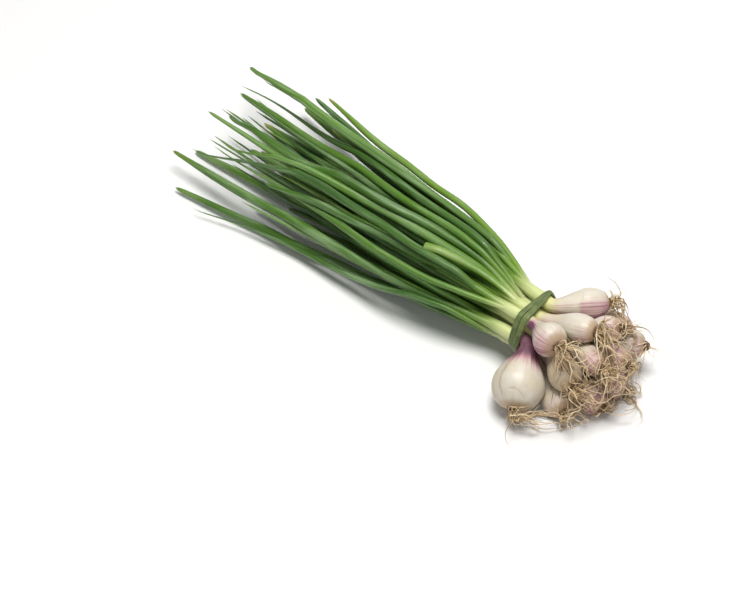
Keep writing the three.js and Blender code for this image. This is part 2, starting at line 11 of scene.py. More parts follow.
import bpy
import numpy as np
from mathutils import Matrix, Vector


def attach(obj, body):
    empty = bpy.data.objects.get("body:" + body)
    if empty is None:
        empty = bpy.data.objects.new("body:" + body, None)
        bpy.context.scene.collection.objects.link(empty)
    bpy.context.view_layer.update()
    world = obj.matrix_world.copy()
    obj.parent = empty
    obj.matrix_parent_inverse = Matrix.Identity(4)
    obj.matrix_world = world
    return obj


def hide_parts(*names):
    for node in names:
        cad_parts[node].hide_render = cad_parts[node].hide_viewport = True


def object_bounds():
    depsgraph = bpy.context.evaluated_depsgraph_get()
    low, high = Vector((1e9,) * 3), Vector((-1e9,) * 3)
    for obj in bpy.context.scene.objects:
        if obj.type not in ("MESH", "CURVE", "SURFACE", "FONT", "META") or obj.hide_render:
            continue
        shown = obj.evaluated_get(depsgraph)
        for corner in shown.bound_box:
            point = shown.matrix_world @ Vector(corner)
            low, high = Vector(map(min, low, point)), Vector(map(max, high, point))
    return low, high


bl_info = {
    "name": "Spring onion bunch",
    "version": (1, 0, 0),
    "blender": (4, 5, 0),
    "location": "3D View > Sidebar > Onions",
    "description": "Bulbs, leaves, roots, leaf tie and stage of a bunch of spring onions",
    "category": "Object",
}

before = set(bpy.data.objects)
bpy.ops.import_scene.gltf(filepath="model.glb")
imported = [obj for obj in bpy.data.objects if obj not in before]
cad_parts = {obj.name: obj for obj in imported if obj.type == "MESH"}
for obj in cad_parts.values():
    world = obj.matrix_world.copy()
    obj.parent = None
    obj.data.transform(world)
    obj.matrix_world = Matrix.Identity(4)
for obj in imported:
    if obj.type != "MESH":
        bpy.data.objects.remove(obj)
CAD_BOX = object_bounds()

# Sizes shared with the solids, in millimetres.
TIE_HEIGHT = 26.0  # middle of the tie above the table
NECK_GAP = 0.5  # air between neighbouring necks at the tie
BULB_GAP = 1.0  # between bulbs, and between leaves of different plants
LEAF_GAP = 0.5
SINK = 1.2  # how far a resting bulb is pressed flat
ROPE_STEP = 5.0  # spacing of the points along a bulb and its neck
PLATE_RADIUS = 3.4  # root plate under a bulb
PLATE_DEPTH = 2.6
ROOT_RADIUS = 0.65  # a leading root
ROOTS_PER_PLANT = 5
ROOT_STEP = 9.0  # spacing of the points along a leading root
ROOT_STEPS = 4.2  # and about how many of them it has
ROOT_CEILING = 58.0  # no leading root reaches higher
ROOT_HEAP = (56.0, -8.0, 10.0)  # the roots lean towards here and tangle
ROOT_REACH = (14.0, 88.0)  # leading roots lie between these distances ahead of the tie
STRIP_WIDTH = 5.2  # the tie's strip, along X
STRIP_THICKNESS = 1.5  # and square to it
STRIP_GAP = 0.4  # air between the strip and the necks
CORNER = 7.0  # length over which the strip bends round a neck
KNOT_ANGLE = -0.7  # low on the far side, in radians from +Y towards +Z
KNOT_RADIUS = 4.0
TURN_LEAD = 2.35  # how far each turn of the strip leans ahead of the tie or behind it
STATIONS = np.array([0.15, 11, 26, 48, 76, 110, 149, 190, 232, 275])  # distances behind the tie
CUT_PLANT = 2  # the plant with one leaf that was cut off short
CUT_LENGTH = 66.0
CUT_ANGLE = 1.9  # where on the stem it parts, in radians

# Rounds of settling: how many while everything still moves in and sinks, and how many in all.
NECK_ROUNDS = (300, 400)
BULB_ROUNDS = (200, 260)
LEAF_ROUNDS = (200, 320)

# Seeds of the random draws. A plant's own draws count on from these.
LEAF_SEED = 4711
LEAF_SKIN_SEED = 3000
BULB_SKIN_SEED = 1000
ROOT_SEED = 90210
FREE_ROOT_SEED = 77
FINE_ROOT_SEED = 500

# Sizes of the fine skins and roots, in millimetres.
PILE_TOP = 57.3  # no leaf on top reaches higher
LEAF_MARGIN = 0.06  # leaves keep this far inside the solids' box
ROOT_MARGIN = 0.65  # and the lines of the fine roots this far
FREE_STEP = 1.7  # spacing of the points along a free root
FREE_REACH = 85  # the longest free root
GUIDE_POINTS = 60  # a leading root is read at this many places
HAIR_STEP = 1.5  # spacing of the points along a fine hair
SKIN_GAP = 0.5  # roots keep this far off the bulbs
LARGEST = 3  # the largest bulb, at the front: creased, with its roots swept to the right
PATCHED = 2  # the small round bulb beside it, with its purple on one side of the neck

# Each plant: bulb's place from the tie (ahead, sideways, up), radius, length for its width, neck radius,
# leaves, and whether its skin is purple.
PLANTS = [
    ((22, 25, 13), 9.9, 1.35, 4.4, 5, False),
    ((30, 7, 14), 8.6, 1.45, 4.0, 4, False),
    ((24, -10, 11), 10.5, 0.95, 3.9, 4, False),
    ((25, -34, -9), 16.5, 1.05, 4.4, 5, False),
    ((38, -13, -5), 10.2, 1.1, 4.2, 5, False),
    ((54, 9, -3), 8.6, 1.2, 3.8, 4, True),
    ((53, 27, 1), 8.6, 1.15, 3.9, 4, False),
    ((54, -13, -13), 9.0, 1.2, 3.9, 4, True),
    ((19, 28, -11), 10.5, 1.1, 4.3, 5, False),
    ((37, 33, -6), 8.8, 1.25, 3.8, 4, True),
    ((37, 17, -15), 9.2, 1.1, 4.0, 4, False),
    ((27, 0, -16), 8.8, 1.3, 3.8, 4, False),
    ((58, 6, -16), 8.6, 1.1, 3.8, 4, True),
    ((40, 19, 11), 8.2, 1.2, 3.6, 4, False),
    ((40, -27, -15), 9.0, 1.2, 3.7, 4, False),
    ((47, -3, 5), 8.0, 1.3, 3.6, 4, False),
]

# Each plant's skin: purple at the neck and how far it reaches, purple on the lower bulb and how far up it
# reaches, the side that it favours, dry beige, and how far the green reaches from the tie.
SKINS = [
    (0.50, 13, 1.25, 20, 1.0, 0.05, 7), (0.50, 15, 0.45, 11, 1.2, 0.04, 7),
    (2.10, 12, 0.70, 13, 1.3, 0.0, 5), (2.50, 16, 0.0, 1, 0.0, 0.1, 1),
    (0.20, 10, 0.10, 8, 0.0, 0.95, 6), (0.60, 15, 0.80, 26, 0.3, 0.7, 8),
    (0.35, 12, 0.55, 11, 0.8, 0.08, 8), (0.90, 20, 1.05, 30, 0.0, 0.45, 6),
    (0.60, 10, 0.20, 8, 0.0, 0.6, 4), (0.80, 14, 0.80, 20, 0.5, 0.1, 6),
    (0.60, 12, 0.35, 12, 0.5, 0.3, 6), (0.60, 12, 0.20, 10, 0.0, 0.3, 5),
    (0.90, 15, 0.80, 20, 0.0, 0.15, 6), (0.50, 14, 0.70, 13, 0.8, 0.05, 8),
    (0.80, 14, 0.30, 12, 0.0, 0.4, 4), (0.50, 12, 0.65, 14, 0.6, 0.15, 8),
]

# Where the roots of some plants are drawn to. The others lean towards the middle of the heap.
LEANS = {
    0: (0.4, -0.7, -0.5), 1: (0.6, -0.55, -0.45), 2: (0.7, -0.3, -0.45), 3: (1.5, 1.2, -0.1),
    4: (0.5, 0.1, -0.3), 5: (-0.2, -0.5, -0.4), 6: (-0.2, -0.9, -0.6), 7: (-0.2, 0.4, 0.0),
    8: (0.8, -0.3, -0.2), 12: (-0.6, -0.3, 0.2), 14: (0.9, 0.8, 0.0),
}

# Long leaves that lie over the rest: plant, radius, tone from dark to lime, a blunt tip, and the way, as
# distances behind the tie with places to the side.
TOP_LEAVES = [
    (3, 2.9, 0.35, True, (
        (75, -31.2), (120, -32.9), (168, -34.4), (208, -34.8), (237, -34.4), (274, -35.7),
    )),
    (14, 2.2, 0.20, False, (
        (38, -27.5), (79, -36.9), (146, -39.3), (163, -39.7), (208, -47.1), (237, -59.3),
    )),
    (2, 2.6, 0.50, False, (
        (61, -28.6), (111, -28.5), (158, -24.4), (183, -26.1), (214, -26.6), (246, -26.2),
    )),
    (2, 2.8, 0.30, True, (
        (62, -18.2), (108, -17.9), (146, -23.3), (171, -26.3), (199, -31.0),
    )),
    (1, 3.1, 0.62, False, (
        (38, 1.7), (79, -0.8), (121, -2.4), (158, -9.9), (197, -21.1), (237, -26.6),
    )),
    (1, 2.9, 0.30, True, (
        (45, 7.9), (90, 4.7), (132, -4.3), (174, -7.4), (217, -5.8), (255, -0.9),
    )),
    (13, 2.6, 0.55, True, (
        (42, 8.0), (89, 9.9), (139, 13.2), (183, 18.8), (234, 25.3), (269, 24.2),
    )),
    (13, 2.5, 0.25, False, (
        (39, 10.3), (83, 15.7), (129, 21.4), (173, 23.8), (224, 33.1), (264, 32.7), (274, 30.0),
    )),
    (0, 2.8, 0.70, True, (
        (36, 16.4), (78, 23.6), (127, 30.7), (160, 30.4), (205, 30.6), (244, 36.5), (274, 39.8),
    )),
    (0, 2.6, 0.95, True, (
        (32, 20.0), (75, 32.9), (112, 37.1), (158, 40.6), (194, 48.1), (217, 53.8),
    )),
    (6, 2.5, 0.40, False, (
        (31, 17.9), (72, 21.9), (108, 26.2), (145, 25.3), (190, 26.7), (225, 30.2), (260, 36.3),
    )),
    (4, 2.7, 0.15, False, (
        (30, -13.2), (64, -19.2), (109, -16.8), (146, -17.1), (177, -19.8), (205, -24.4), (260, -32.9),
    )),
    (1, 3.1, 1.0, True, (
        (34, 1.0), (58, -5.5), (68, -12.0), (78, -20.0),
    )),
]

# The camera's direction, which also says which side of a bulb shows most, and the picture it takes.
VIEW_TURN = math.radians(41)
VIEW_HEIGHT = math.radians(50)
PICTURE = (745, 600)
TIE_PIXEL = (535, 324)  # where the middle of the tie lies in the picture
PIXEL = 0.00062  # metres that one pixel covers
LENS = 200.0  # focal length and width of the camera's sensor, in millimetres
SENSOR = 36.0

# Lights: name, place from the middle of the picture and size in metres, power in watts, and tint.
LIGHTS = [
    ("key_light", (0.10, 0.05, 1.35), 0.70, 21.0, (1.0, 0.99, 0.97)),
    ("fill_light", (0.9, -0.9, 0.75), 1.2, 2.6, (0.97, 0.98, 1.0)),
    ("back_light", (-0.2, 1.1, 0.9), 1.2, 3.6, (1.0, 1.0, 1.0)),
]
ROOM_LIGHT = 0.19

# How far the heap of roots reaches from the tie, seen by the camera: shares to the right and up, and how
# far in that direction.
HEAP_EDGES = [
    (1.0, 0.0, 64.0), (0.966, 0.26, 58.5), (0.43, -0.903, 65.5), (0.0, -1.0, 62.0), (-1.0, 0.0, 19.0),
]


# Numbers and curves.


def view_ways(turn, height):
    """The camera's right and the way back to it, as directions in the model's frame."""
    back = (math.sin(turn) * math.cos(height), -math.cos(turn) * math.cos(height), math.sin(height))
    return (math.cos(turn), math.sin(turn), 0.0), back


VIEW_RIGHT, VIEW_BACK = np.array(view_ways(VIEW_TURN, VIEW_HEIGHT))
VIEW_UP = np.cross(VIEW_BACK, VIEW_RIGHT)


def dice(seed):
    """A repeatable draw between two numbers."""
    state = [seed]

    def draw(low, high):
        state[0] = (state[0] * 16807) % 2147483647
        return low + ((high - low) * state[0]) / 2147483647

    return draw


def smooth(x, start, end):
    """A soft step from 0 to 1, over an array."""
    t = np.clip((x - start) / (end - start), 0.0, 1.0)
    return t * t * (3 - 2 * t)


def soft(x, start, end):
    """The same soft step for one number."""
    t = min(max((x - start) / (end - start), 0.0), 1.0)
    return t * t * (3 - 2 * t)


def nearest(x):
    """The nearest whole number."""
    return int(math.floor(x + 0.5))


def lengths(ways):
    """The length of each direction, kept as a column."""
    return np.linalg.norm(ways, axis=1, keepdims=True)


def unit(way):
    """A direction of length 1."""
    way = np.asarray(way, float)
    return way / math.sqrt(float(way @ way))


def run_along(points):
    """How far along a line each of its points lies."""
    return np.concatenate([[0], np.cumsum(np.linalg.norm(np.diff(points, axis=0), axis=1))])


def curve_through(knots, values, at):
    """A smooth curve through values at knots, read at other places."""
    slope = np.gradient(values, knots, axis=0)
    k = np.clip(np.searchsorted(knots, at) - 1, 0, len(knots) - 2)
    h = knots[k + 1] - knots[k]
    t = ((at - knots[k]) / h)[:, None]
    h = h[:, None]
    return (
        (2 * t**3 - 3 * t**2 + 1) * values[k]
        + (t**3 - 2 * t**2 + t) * h * slope[k]
        + (-2 * t**3 + 3 * t**2) * values[k + 1]
        + (t**3 - t**2) * h * slope[k + 1]
    )


def read_line(at, knots, line):
    """Places on a line of points, between its knots."""
    return np.stack([np.interp(at, knots, line[:, axis]) for axis in range(line.shape[1])], -1)


def round_angle(around):
    """The angle of a point round a skin, whose last column closes on the first."""
    return np.where(around >= 1 - 1e-9, 0.0, around * 2 * math.pi)


def angle_from(theta, start):
    """Signed angle from a start, between minus and plus half a turn."""
    return np.angle(np.exp(1j * (theta - start)))


def tilted(x, y, tilt):
    """A section's places, turned by an angle."""
    c, s = np.cos(tilt), np.sin(tilt)
    return x * c - y * s, x * s + y * c


def ripple(draw, terms, lowest, highest):
    """A smooth random curve: a few waves with drawn pitch and phase."""
    waves = [(draw(lowest, highest), draw(0, 2 * math.pi), draw(0.4, 1)) for _ in range(terms)]
    total = sum(height for *_, height in waves)
    return lambda x: sum(height * np.sin(pitch * x + phase) for pitch, phase, height in waves) / total


# The layout of the bunch.


def pack_necks():
    """The necks' places in the tie, sideways and up."""
    spots = [[p[0][1] * 0.5, p[0][2] * 0.7] for p in PLANTS]
    moving, rounds = NECK_ROUNDS
    for turn in range(rounds):
        pull = 0.03 if turn < moving else 0.004
        for spot in spots:
            spot[0] -= spot[0] * pull * 0.8
            spot[1] -= spot[1] * pull
        for a in range(len(spots)):
            for b in range(a + 1, len(spots)):
                dy = spots[b][0] - spots[a][0]
                dz = spots[b][1] - spots[a][1]
                away = math.hypot(dy, dz) or 1e-6
                short = PLANTS[a][3] + PLANTS[b][3] + NECK_GAP - away
                if short > 0:
                    share = (0.5 * short) / away
                    spots[a][0] -= dy * share
                    spots[a][1] -= dz * share
                    spots[b][0] += dy * share
                    spots[b][1] += dz * share
    return spots


def bulb_radius(plant, distance):
    """Radius of a bulb at distances from its root plate."""
    _, radius, long, neck = plant[:4]
    distance = np.asarray(distance, float)
    belly = radius * 0.92 * long
    shoulder = belly + radius * 1.75 * long
    below = np.clip(1 - distance / belly, 0, 1)
    round_part = PLATE_RADIUS + (radius - PLATE_RADIUS) * np.sqrt(1 - below * below)
    t = np.clip((distance - belly) / (shoulder - belly), 0, 1)
    upper = neck + (radius - neck) * 0.5 * (1 + np.cos(math.pi * t**0.9))
    return np.where(distance < belly, round_part, upper)


def settle_bulbs(necks):
    """The ropes from the tie to the root plates, settled on the table and against each other."""
    ropes = []
    for plant, neck in zip(PLANTS, necks):
        bulb, radius, long = plant[:3]
        start = [0.0, neck[0], TIE_HEIGHT + neck[1]]
        centre = [bulb[0], bulb[1], TIE_HEIGHT + bulb[2]]
        way = [c - s for c, s in zip(centre, start)]
        reach = math.hypot(*way)
        past = 1 + (0.92 * radius * long) / reach
        length = reach * past * 1.03
        count = nearest(length / ROPE_STEP) + 1
        spots = []
        for n in range(count):
            t = n / (count - 1)
            bend = soft(t, -0.15, 0.75) * t
            spots.append([
                start[0] + way[0] * past * t,
                start[1] + way[1] * past * bend,
                start[2] + way[2] * past * bend,
            ])
        radii = [float(bulb_radius(plant, length * (1 - n / (count - 1)))) for n in range(count)]
        ropes.append({
            "spots": spots, "radii": radii, "length": length, "step": length / (count - 1), "plant": plant,
        })
    moving, rounds = BULB_ROUNDS
    for turn in range(rounds):
        loose = turn < moving
        for rope in ropes:
            aim = rope["plant"][0]
            spots = rope["spots"]
            last = len(spots) - 1
            middle = nearest(last - rope["plant"][1] / rope["step"])
            target = [aim[0], aim[1], TIE_HEIGHT + aim[2]]
            for n in range(2, last + 1):
                weight = 0.02 * (n / last) if loose else 0
                for axis in range(3):
                    spots[n][axis] += (target[axis] - spots[middle][axis]) * weight
                if loose:
                    spots[n][2] -= 0.06 * (n / last)
        push_ropes_apart(ropes)
        for _ in range(3):
            for rope in ropes:
                straighten(rope)
    return ropes


def push_ropes_apart(ropes):
    """Moves bulbs and necks that touch a little way apart."""
    arrays = [np.array(rope["spots"][2:]) for rope in ropes]
    reach = [np.array(rope["radii"][2:]) for rope in ropes]
    for a in range(len(ropes)):
        for b in range(a + 1, len(ropes)):
            gap = arrays[b][None] - arrays[a][:, None]
            limit = reach[a][:, None] + reach[b][None] + BULB_GAP
            if not ((gap * gap).sum(-1) < limit * limit).any():
                continue
            one, other = ropes[a], ropes[b]
            for n in range(2, len(one["spots"])):
                p = one["spots"][n]
                for m in range(2, len(other["spots"])):
                    q = other["spots"][m]
                    x, y, z = q[0] - p[0], q[1] - p[1], q[2] - p[2]
                    away = math.sqrt(x * x + y * y + z * z) or 1e-6
                    short = one["radii"][n] + other["radii"][m] + BULB_GAP - away
                    if short > 0:
                        for axis, g in enumerate((x, y, z)):
                            p[axis] -= (0.3 * short * g) / away
                            q[axis] += (0.3 * short * g) / away
            arrays[a] = np.array(one["spots"][2:])
            arrays[b] = np.array(other["spots"][2:])


def straighten(rope):
    """Evens out a rope's bends, brings its steps back to length and lifts it off the table."""
    spots, radii, step = rope["spots"], rope["radii"], rope["step"]
    last = len(spots) - 1
    for n in range(1, last):
        stiff = 0.5 if radii[n] > rope["plant"][3] * 1.3 else 0.25
        for axis in range(3):
            even = 0.5 * (spots[n - 1][axis] + spots[n + 1][axis]) - spots[n][axis]
            spots[n][axis] += stiff * even
            spots[n - 1][axis] -= 0.5 * stiff * even * (1 if n > 2 else 0)
            spots[n + 1][axis] -= 0.5 * stiff * even
    for n in range(1, last + 1):
        p, q = spots[n - 1], spots[n]
        way = [q[axis] - p[axis] for axis in range(3)]
        stretch = step / (math.hypot(*way) or 1e-6)
        for axis in range(3):
            q[axis] = p[axis] + way[axis] * stretch
        q[2] = max(q[2], radii[n] - SINK)
    spots[1] = [spots[0][0] + step, spots[0][1], spots[0][2]]


def draw_leaves(necks):
    """The stems and leaves as positions at the stations, before they are pushed apart."""
    draw = dice(LEAF_SEED)
    sideways = 1 + smooth(STATIONS, -10, 115) + 0.3 * smooth(STATIONS, 110, 300)
    upward = 1 + 0.3 * smooth(STATIONS, 0, 160)
    height = TIE_HEIGHT - 1.5 * smooth(STATIONS, 20, 220)
    far = smooth(STATIONS, 30, 300)
    strands = []
    for i, (plant, (side, up)) in enumerate(zip(PLANTS, necks)):
        fork = draw(14, 34)
        strands.append({
            "plant": i, "stem": True, "reach": fork + 16, "blunt": False, "cut": False,
            "radii": plant[3] * (1 - 0.32 * smooth(STATIONS, 4, fork + 16)),
            "spots": np.stack([side * sideways, height + up * upward], -1),
        })
        turn = CUT_ANGLE if i == CUT_PLANT else draw(0, 2 * math.pi)
        for j in range(plant[4]):
            angle = turn + (2 * math.pi * j) / plant[4] + draw(-0.4, 0.4)
            thick = draw(2.3, 3.25)
            cut = i == CUT_PLANT and j == 0
            long = draw(140, 200) if draw(0, 1) < 0.2 else draw(200, 274)
            reach = CUT_LENGTH if cut else long
            blunt = draw(0, 1) < 0.45 or cut
            stray = draw(0, 1) ** 2 * 26
            drift = [draw(-14, 14) + side / 21 * stray, draw(-5, 6) + max(up / 18, 0) * stray]
            wave = [draw(-9, 9), draw(-4.5, 4.5)]
            phase = draw(0, math.pi)
            pitch = math.pi / draw(110, 190)
            out = 1.1 + 4.4 * smooth(STATIONS, fork, 120)
            sway = np.sin(phase + STATIONS * pitch) * smooth(STATIONS, 30, 150)
            y = (side + out * math.cos(angle)) * sideways + drift[0] * far + wave[0] * sway
            z = height + (up + out * math.sin(angle)) * upward + drift[1] * far + wave[1] * sway
            tip = 0.68 if blunt else 0.18
            start = max(reach - 70, reach * 0.7) if blunt else reach * 0.5
            rise = 0.8 + 0.2 * smooth(STATIONS, 20, 70)
            radii = thick * rise * (1 - (1 - tip) * smooth(STATIONS, start, reach))
            strands.append({
                "plant": i, "stem": False, "reach": reach, "blunt": blunt, "cut": cut,
                "radii": radii, "spots": np.stack([y, z], -1),
            })
    return strands


def settle_leaves(strands):
    """Pushes leaves of different plants apart and lets them sink onto each other and the table."""
    spots = np.stack([s["spots"] for s in strands])
    radii = np.stack([s["radii"] for s in strands])
    reach = np.array([s["reach"] for s in strands])
    plant = np.array([s["plant"] for s in strands])
    stem = np.array([s["stem"] for s in strands])
    one, other = np.triu_indices(len(strands), 1)
    apart = plant[one] != plant[other]
    one, other = one[apart], other[apart]
    both = np.minimum(reach[one], reach[other])[:, None] > STATIONS[None, :-1]
    wide = radii[one] + radii[other]
    to_moves = np.zeros((len(strands), len(one)))
    to_moves[one, np.arange(len(one))] = -1
    to_moves[other, np.arange(len(one))] = 1
    fall = 0.05 * smooth(STATIONS, 20, 120)
    moving, rounds = LEAF_ROUNDS
    for turn in range(rounds):
        loose = turn < moving
        gap = spots[other] - spots[one]
        near = gap[:, :-1]
        step = gap[:, 1:] - near
        square = (step * step).sum(-1)
        t = -(near * step).sum(-1) / np.maximum(square, 1e-30)
        t = np.where(square > 1e-9, np.clip(t, 0, 1), 0)
        closest = near + step * t[..., None]
        away = np.hypot(closest[..., 0], closest[..., 1])
        away = np.where(away == 0, 1e-6, away)
        short = wide[:, :-1] * (1 - t) + wide[:, 1:] * t + LEAF_GAP - away
        push = np.where(both & (short > 0), 0.22 * short / away, 0)[..., None] * closest
        shares = np.zeros_like(gap)
        shares[:, :-1] += push * (1 - t)[..., None]
        shares[:, 1:] += push * t[..., None]
        moves = (to_moves @ shares.reshape(len(one), -1)).reshape(spots.shape)
        spots[:, 2:] += moves[:, 2:]
        if loose:
            spots[~stem, 2:, 1] -= fall[2:]
            for k in range(2, len(STATIONS) - 1):
                t = (STATIONS[k] - STATIONS[k - 1]) / (STATIONS[k + 1] - STATIONS[k - 1])
                even = spots[:, k - 1] * (1 - t) + spots[:, k + 1] * t
                spots[:, k] += 0.12 * (even - spots[:, k])
        spots[..., 1] = np.maximum(spots[..., 1], radii + 0.02)
    for strand, spot in zip(strands, spots):
        strand["spots"] = spot


def leaf_line(strand, distance):
    """A leaf's line at distances behind the tie, and its radius there."""
    stations = strand.get("stations", STATIONS)
    path = curve_through(stations, strand["spots"], distance)
    return np.concatenate([-distance[:, None], path], 1), np.interp(distance, stations, strand["radii"])


def lay_top_leaves(necks, strands):
    """The long leaves over the rest: each is dropped on the pile and drawn taut over it."""
    fine = np.linspace(STATIONS[1], STATIONS[-1], 60)
    pile = []
    for strand in strands:
        line, radius = leaf_line(strand, fine)
        pile.append((line[:, 1], line[:, 2], np.where(fine < strand["reach"], radius, -99)))
    made = []
    for plant, thick, tone, blunt, way in TOP_LEAVES:
        start = necks[plant]
        at, side = zip((STATIONS[1], start[0] * 1.1), *way)
        side = np.interp(fine, at, side)
        for _ in range(30):
            side[1:-1] = 0.5 * side[1:-1] + 0.25 * (side[:-2] + side[2:])
        reach = at[-1]
        cut = tone == 1
        tip = 0.90 if cut else 0.62 if blunt else 0.16
        begin = max(reach - 60, reach * 0.7) if blunt else reach * 0.55
        radius = thick * (0.8 + 0.2 * smooth(fine, 20, 70)) * (1 - (1 - tip) * smooth(fine, begin, reach))
        held = TIE_HEIGHT + start[1] * 1.3 - 9 * smooth(fine, 30, 230)
        floor = np.maximum(radius + 0.02, held)
        for other_side, other_height, other_radius in pile:
            wide = np.maximum(other_radius + radius, 0)
            gap = np.abs(other_side - side)
            rest = other_height + np.sqrt(np.maximum(wide**2 - gap**2, 0)) * 0.96
            floor = np.where(gap < wide, np.maximum(floor, rest), floor)
        rise = smooth(fine, 16, 52)
        stem = TIE_HEIGHT + start[1] * 1.05
        floor = np.where(fine < 52, stem + (np.maximum(floor, stem) - stem) * rise, floor)
        last = int(np.searchsorted(fine, reach))
        height = floor.copy()
        for _ in range(140):
            even = 0.5 * height[1:last - 1] + 0.25 * (height[:last - 2] + height[2:last])
            height[1:last - 1] = np.maximum(floor[1:last - 1], even)
            height[last - 1] = max(floor[last - 1], height[last - 2] - 1.5)
        height[last - 1:] = height[last - 2]
        height = np.minimum(height, PILE_TOP - radius)
        pile.append((side, height, np.where(fine < reach, radius, -99)))
        made.append({
            "plant": plant, "stem": False, "reach": reach, "blunt": blunt, "cut": cut,
            "radii": radius, "spots": np.stack([side, height], -1), "stations": fine, "tone": tone,
        })
    return made


class BulbRoom:
    """The room round the bulbs, necks and root plates."""

    def __init__(self, ropes):
        """Takes each rope apart into its steps, with the middle of its root plate."""
        self.parts = []
        for rope in ropes:
            spots = np.array(rope["spots"])
            radii = np.array(rope["radii"])
            way = spots[1:] - spots[:-1]
            long = np.linalg.norm(way[-1])
            plate = spots[-1] + way[-1] / long * PLATE_DEPTH / 2
            self.parts.append((spots[:-1], way, (way * way).sum(-1), radii, long, plate))

    def clear(self, points, own=-1, plates=True):
        """The gap from each point to the nearest bulb, and to the plates of other plants."""
        least = np.full(len(points), np.inf)
        for i, (start, way, square, radii, long, plate) in enumerate(self.parts):
            offset = points[:, None] - start[None]
            along = (offset * way[None]).sum(-1) / square[None]
            t = np.clip(along, 0, 1)
            off = np.linalg.norm(offset - way[None] * t[..., None], axis=-1)
            inside = (off - radii[None, :-1] * (1 - t) - radii[None, 1:] * t).min(1)
            beyond = (along[:, -1] - 1) * long
            least = np.minimum(least, np.maximum(inside, beyond))
            if plates and i != own:
                least = np.minimum(least, np.linalg.norm(points - plate, axis=1) - PLATE_RADIUS - 0.5)
        return least

    def push_out(self, points, least, to):
        """Moves points with less than the least gap out to a given one. Says which, and which way."""
        gap = self.clear(points, plates=False)
        near = gap < least
        if not near.any():
            return near, np.zeros((0, 3))
        at = points[near]
        nudges = np.eye(3) * 0.2
        way = np.stack([self.clear(at + nudge, plates=False) - gap[near] for nudge in nudges], -1)
        way /= np.maximum(lengths(way), 1e-6)
        points[near] = at + way * (to - gap[near])[:, None]
        return near, way


def grow_roots(ropes, room):
    """The thick leading roots of every plant, one after another, each clear of the rest."""
    draw = dice(ROOT_SEED)
    grown = np.zeros((0, 3))
    sets = []
    for plant, rope in enumerate(ropes):
        base = np.array(rope["spots"][-1])
        ahead = unit(base - np.array(rope["spots"][-2]))
        sweep = np.array([draw(-0.2, 0.3), draw(-0.5, 0.2), draw(-1, -0.3)])
        roots = []
        fresh = []
        for _ in range(ROOTS_PER_PLANT):
            out = np.array([draw(-1, 1), draw(-1, 1), draw(-1, 1)])
            points = [base + ahead * 1.6 + out * 0.9]
            heading = unit(ahead + out * 0.75)
            curl = draw(0.45, 0.95)
            steps = nearest(draw(ROOT_STEPS - 2, ROOT_STEPS + 1))
            for step in range(steps):
                home = unit(np.array(ROOT_HEAP) - points[-1])
                found = None
                for attempt in range(14):
                    wild = curl * (1 + attempt * 0.18)
                    bend = np.array([draw(-wild, wild), draw(-wild, wild), draw(-wild, wild)])
                    lean = home * 0.6 + sweep * 0.35 if step else 0
                    way = unit(heading + bend + lean)
                    to = points[-1] + way * (ROOT_STEP if step else ROOT_STEP * 0.8)
                    if step_is_clear(points[-1], to, step == 0, plant, room, grown):
                        found = to
                        break
                if found is None:
                    break
                points.append(found)
                heading = way
            if len(points) < 3:
                continue
            roots.append(np.array(points))
            for a, b in zip(points[:-1], points[1:]):
                fresh += [a + (b - a) * m / 8 for m in range(1, 9)]
        sets.append({"base": base, "ahead": ahead, "roots": roots})
        grown = np.concatenate([grown, np.array(fresh).reshape(-1, 3)])
    return sets


def step_is_clear(start, to, first, plant, room, grown):
    """Whether a leading root can grow from one point to the next, clear of all that stands there."""
    at = np.array([start + (to - start) * n / 6 for n in range(4 if first else 1, 7)])
    if (at[:, 2] < ROOT_RADIUS + 0.1).any() or (at[:, 2] > ROOT_CEILING).any():
        return False
    if (at[:, 0] < ROOT_REACH[0]).any() or (at[:, 0] > ROOT_REACH[1]).any():
        return False
    if (room.clear(at, plant) < ROOT_RADIUS + 0.35).any():
        return False
    if len(grown):
        gap = np.linalg.norm(at[:, None] - grown[None], axis=-1)
        if (gap < 2 * ROOT_RADIUS + 0.75).any():
            return False
    return True


def sections_in_tie(necks, ropes, strands):
    """Round sections of all that runs through the tie, sideways, up and radius."""
    edge = STRIP_WIDTH + 1
    sections = []
    for i, plant in enumerate(PLANTS):
        one, two = np.array(ropes[i]["spots"][1]), np.array(ropes[i]["spots"][2])
        ahead = one + (two - one) * 0.3
        stem = next(s for s in strands if s["plant"] == i and s["stem"])
        t = (edge - STATIONS[0]) / (STATIONS[1] - STATIONS[0])
        behind = stem["spots"][0] * (1 - t) + stem["spots"][1] * t
        sections.append([necks[i][0], TIE_HEIGHT + necks[i][1], plant[3]])
        sections.append([ahead[1], ahead[2], plant[3]])
        sections.append([behind[0], behind[1], plant[3]])
    return np.array(sections)


_layout = {}


def layout():
    """The whole bunch, laid out once and kept."""
    if _layout:
        return _layout
    necks = pack_necks()
    ropes = settle_bulbs(necks)
    strands = draw_leaves(necks)
    settle_leaves(strands)
    strands += lay_top_leaves(necks, strands)
    room = BulbRoom(ropes)
    _layout.update(
        ropes=ropes, strands=strands, room=room, roots=grow_roots(ropes, room),
        sections=sections_in_tie(necks, ropes, strands),
    )
    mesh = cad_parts["leaves_01"].data
    spots = np.zeros(len(mesh.vertices) * 3)
    mesh.vertices.foreach_get("co", spots)
    spots = spots.reshape(-1, 3)
    end = spots[spots[:, 0] > spots[:, 0].max() - 2e-5]
    seam = np.array([-STATIONS[0], necks[0][0], TIE_HEIGHT + necks[0][1]]) / 1000
    _layout["shift"] = (end.min(0) + end.max(0)) / 2 - seam
    return _layout


def to_frame(points):
    """Places in the bunch's millimetres, as metres in the model's frame."""
    return np.asarray(points) / 1000 + layout()["shift"]


# Lines and skins.


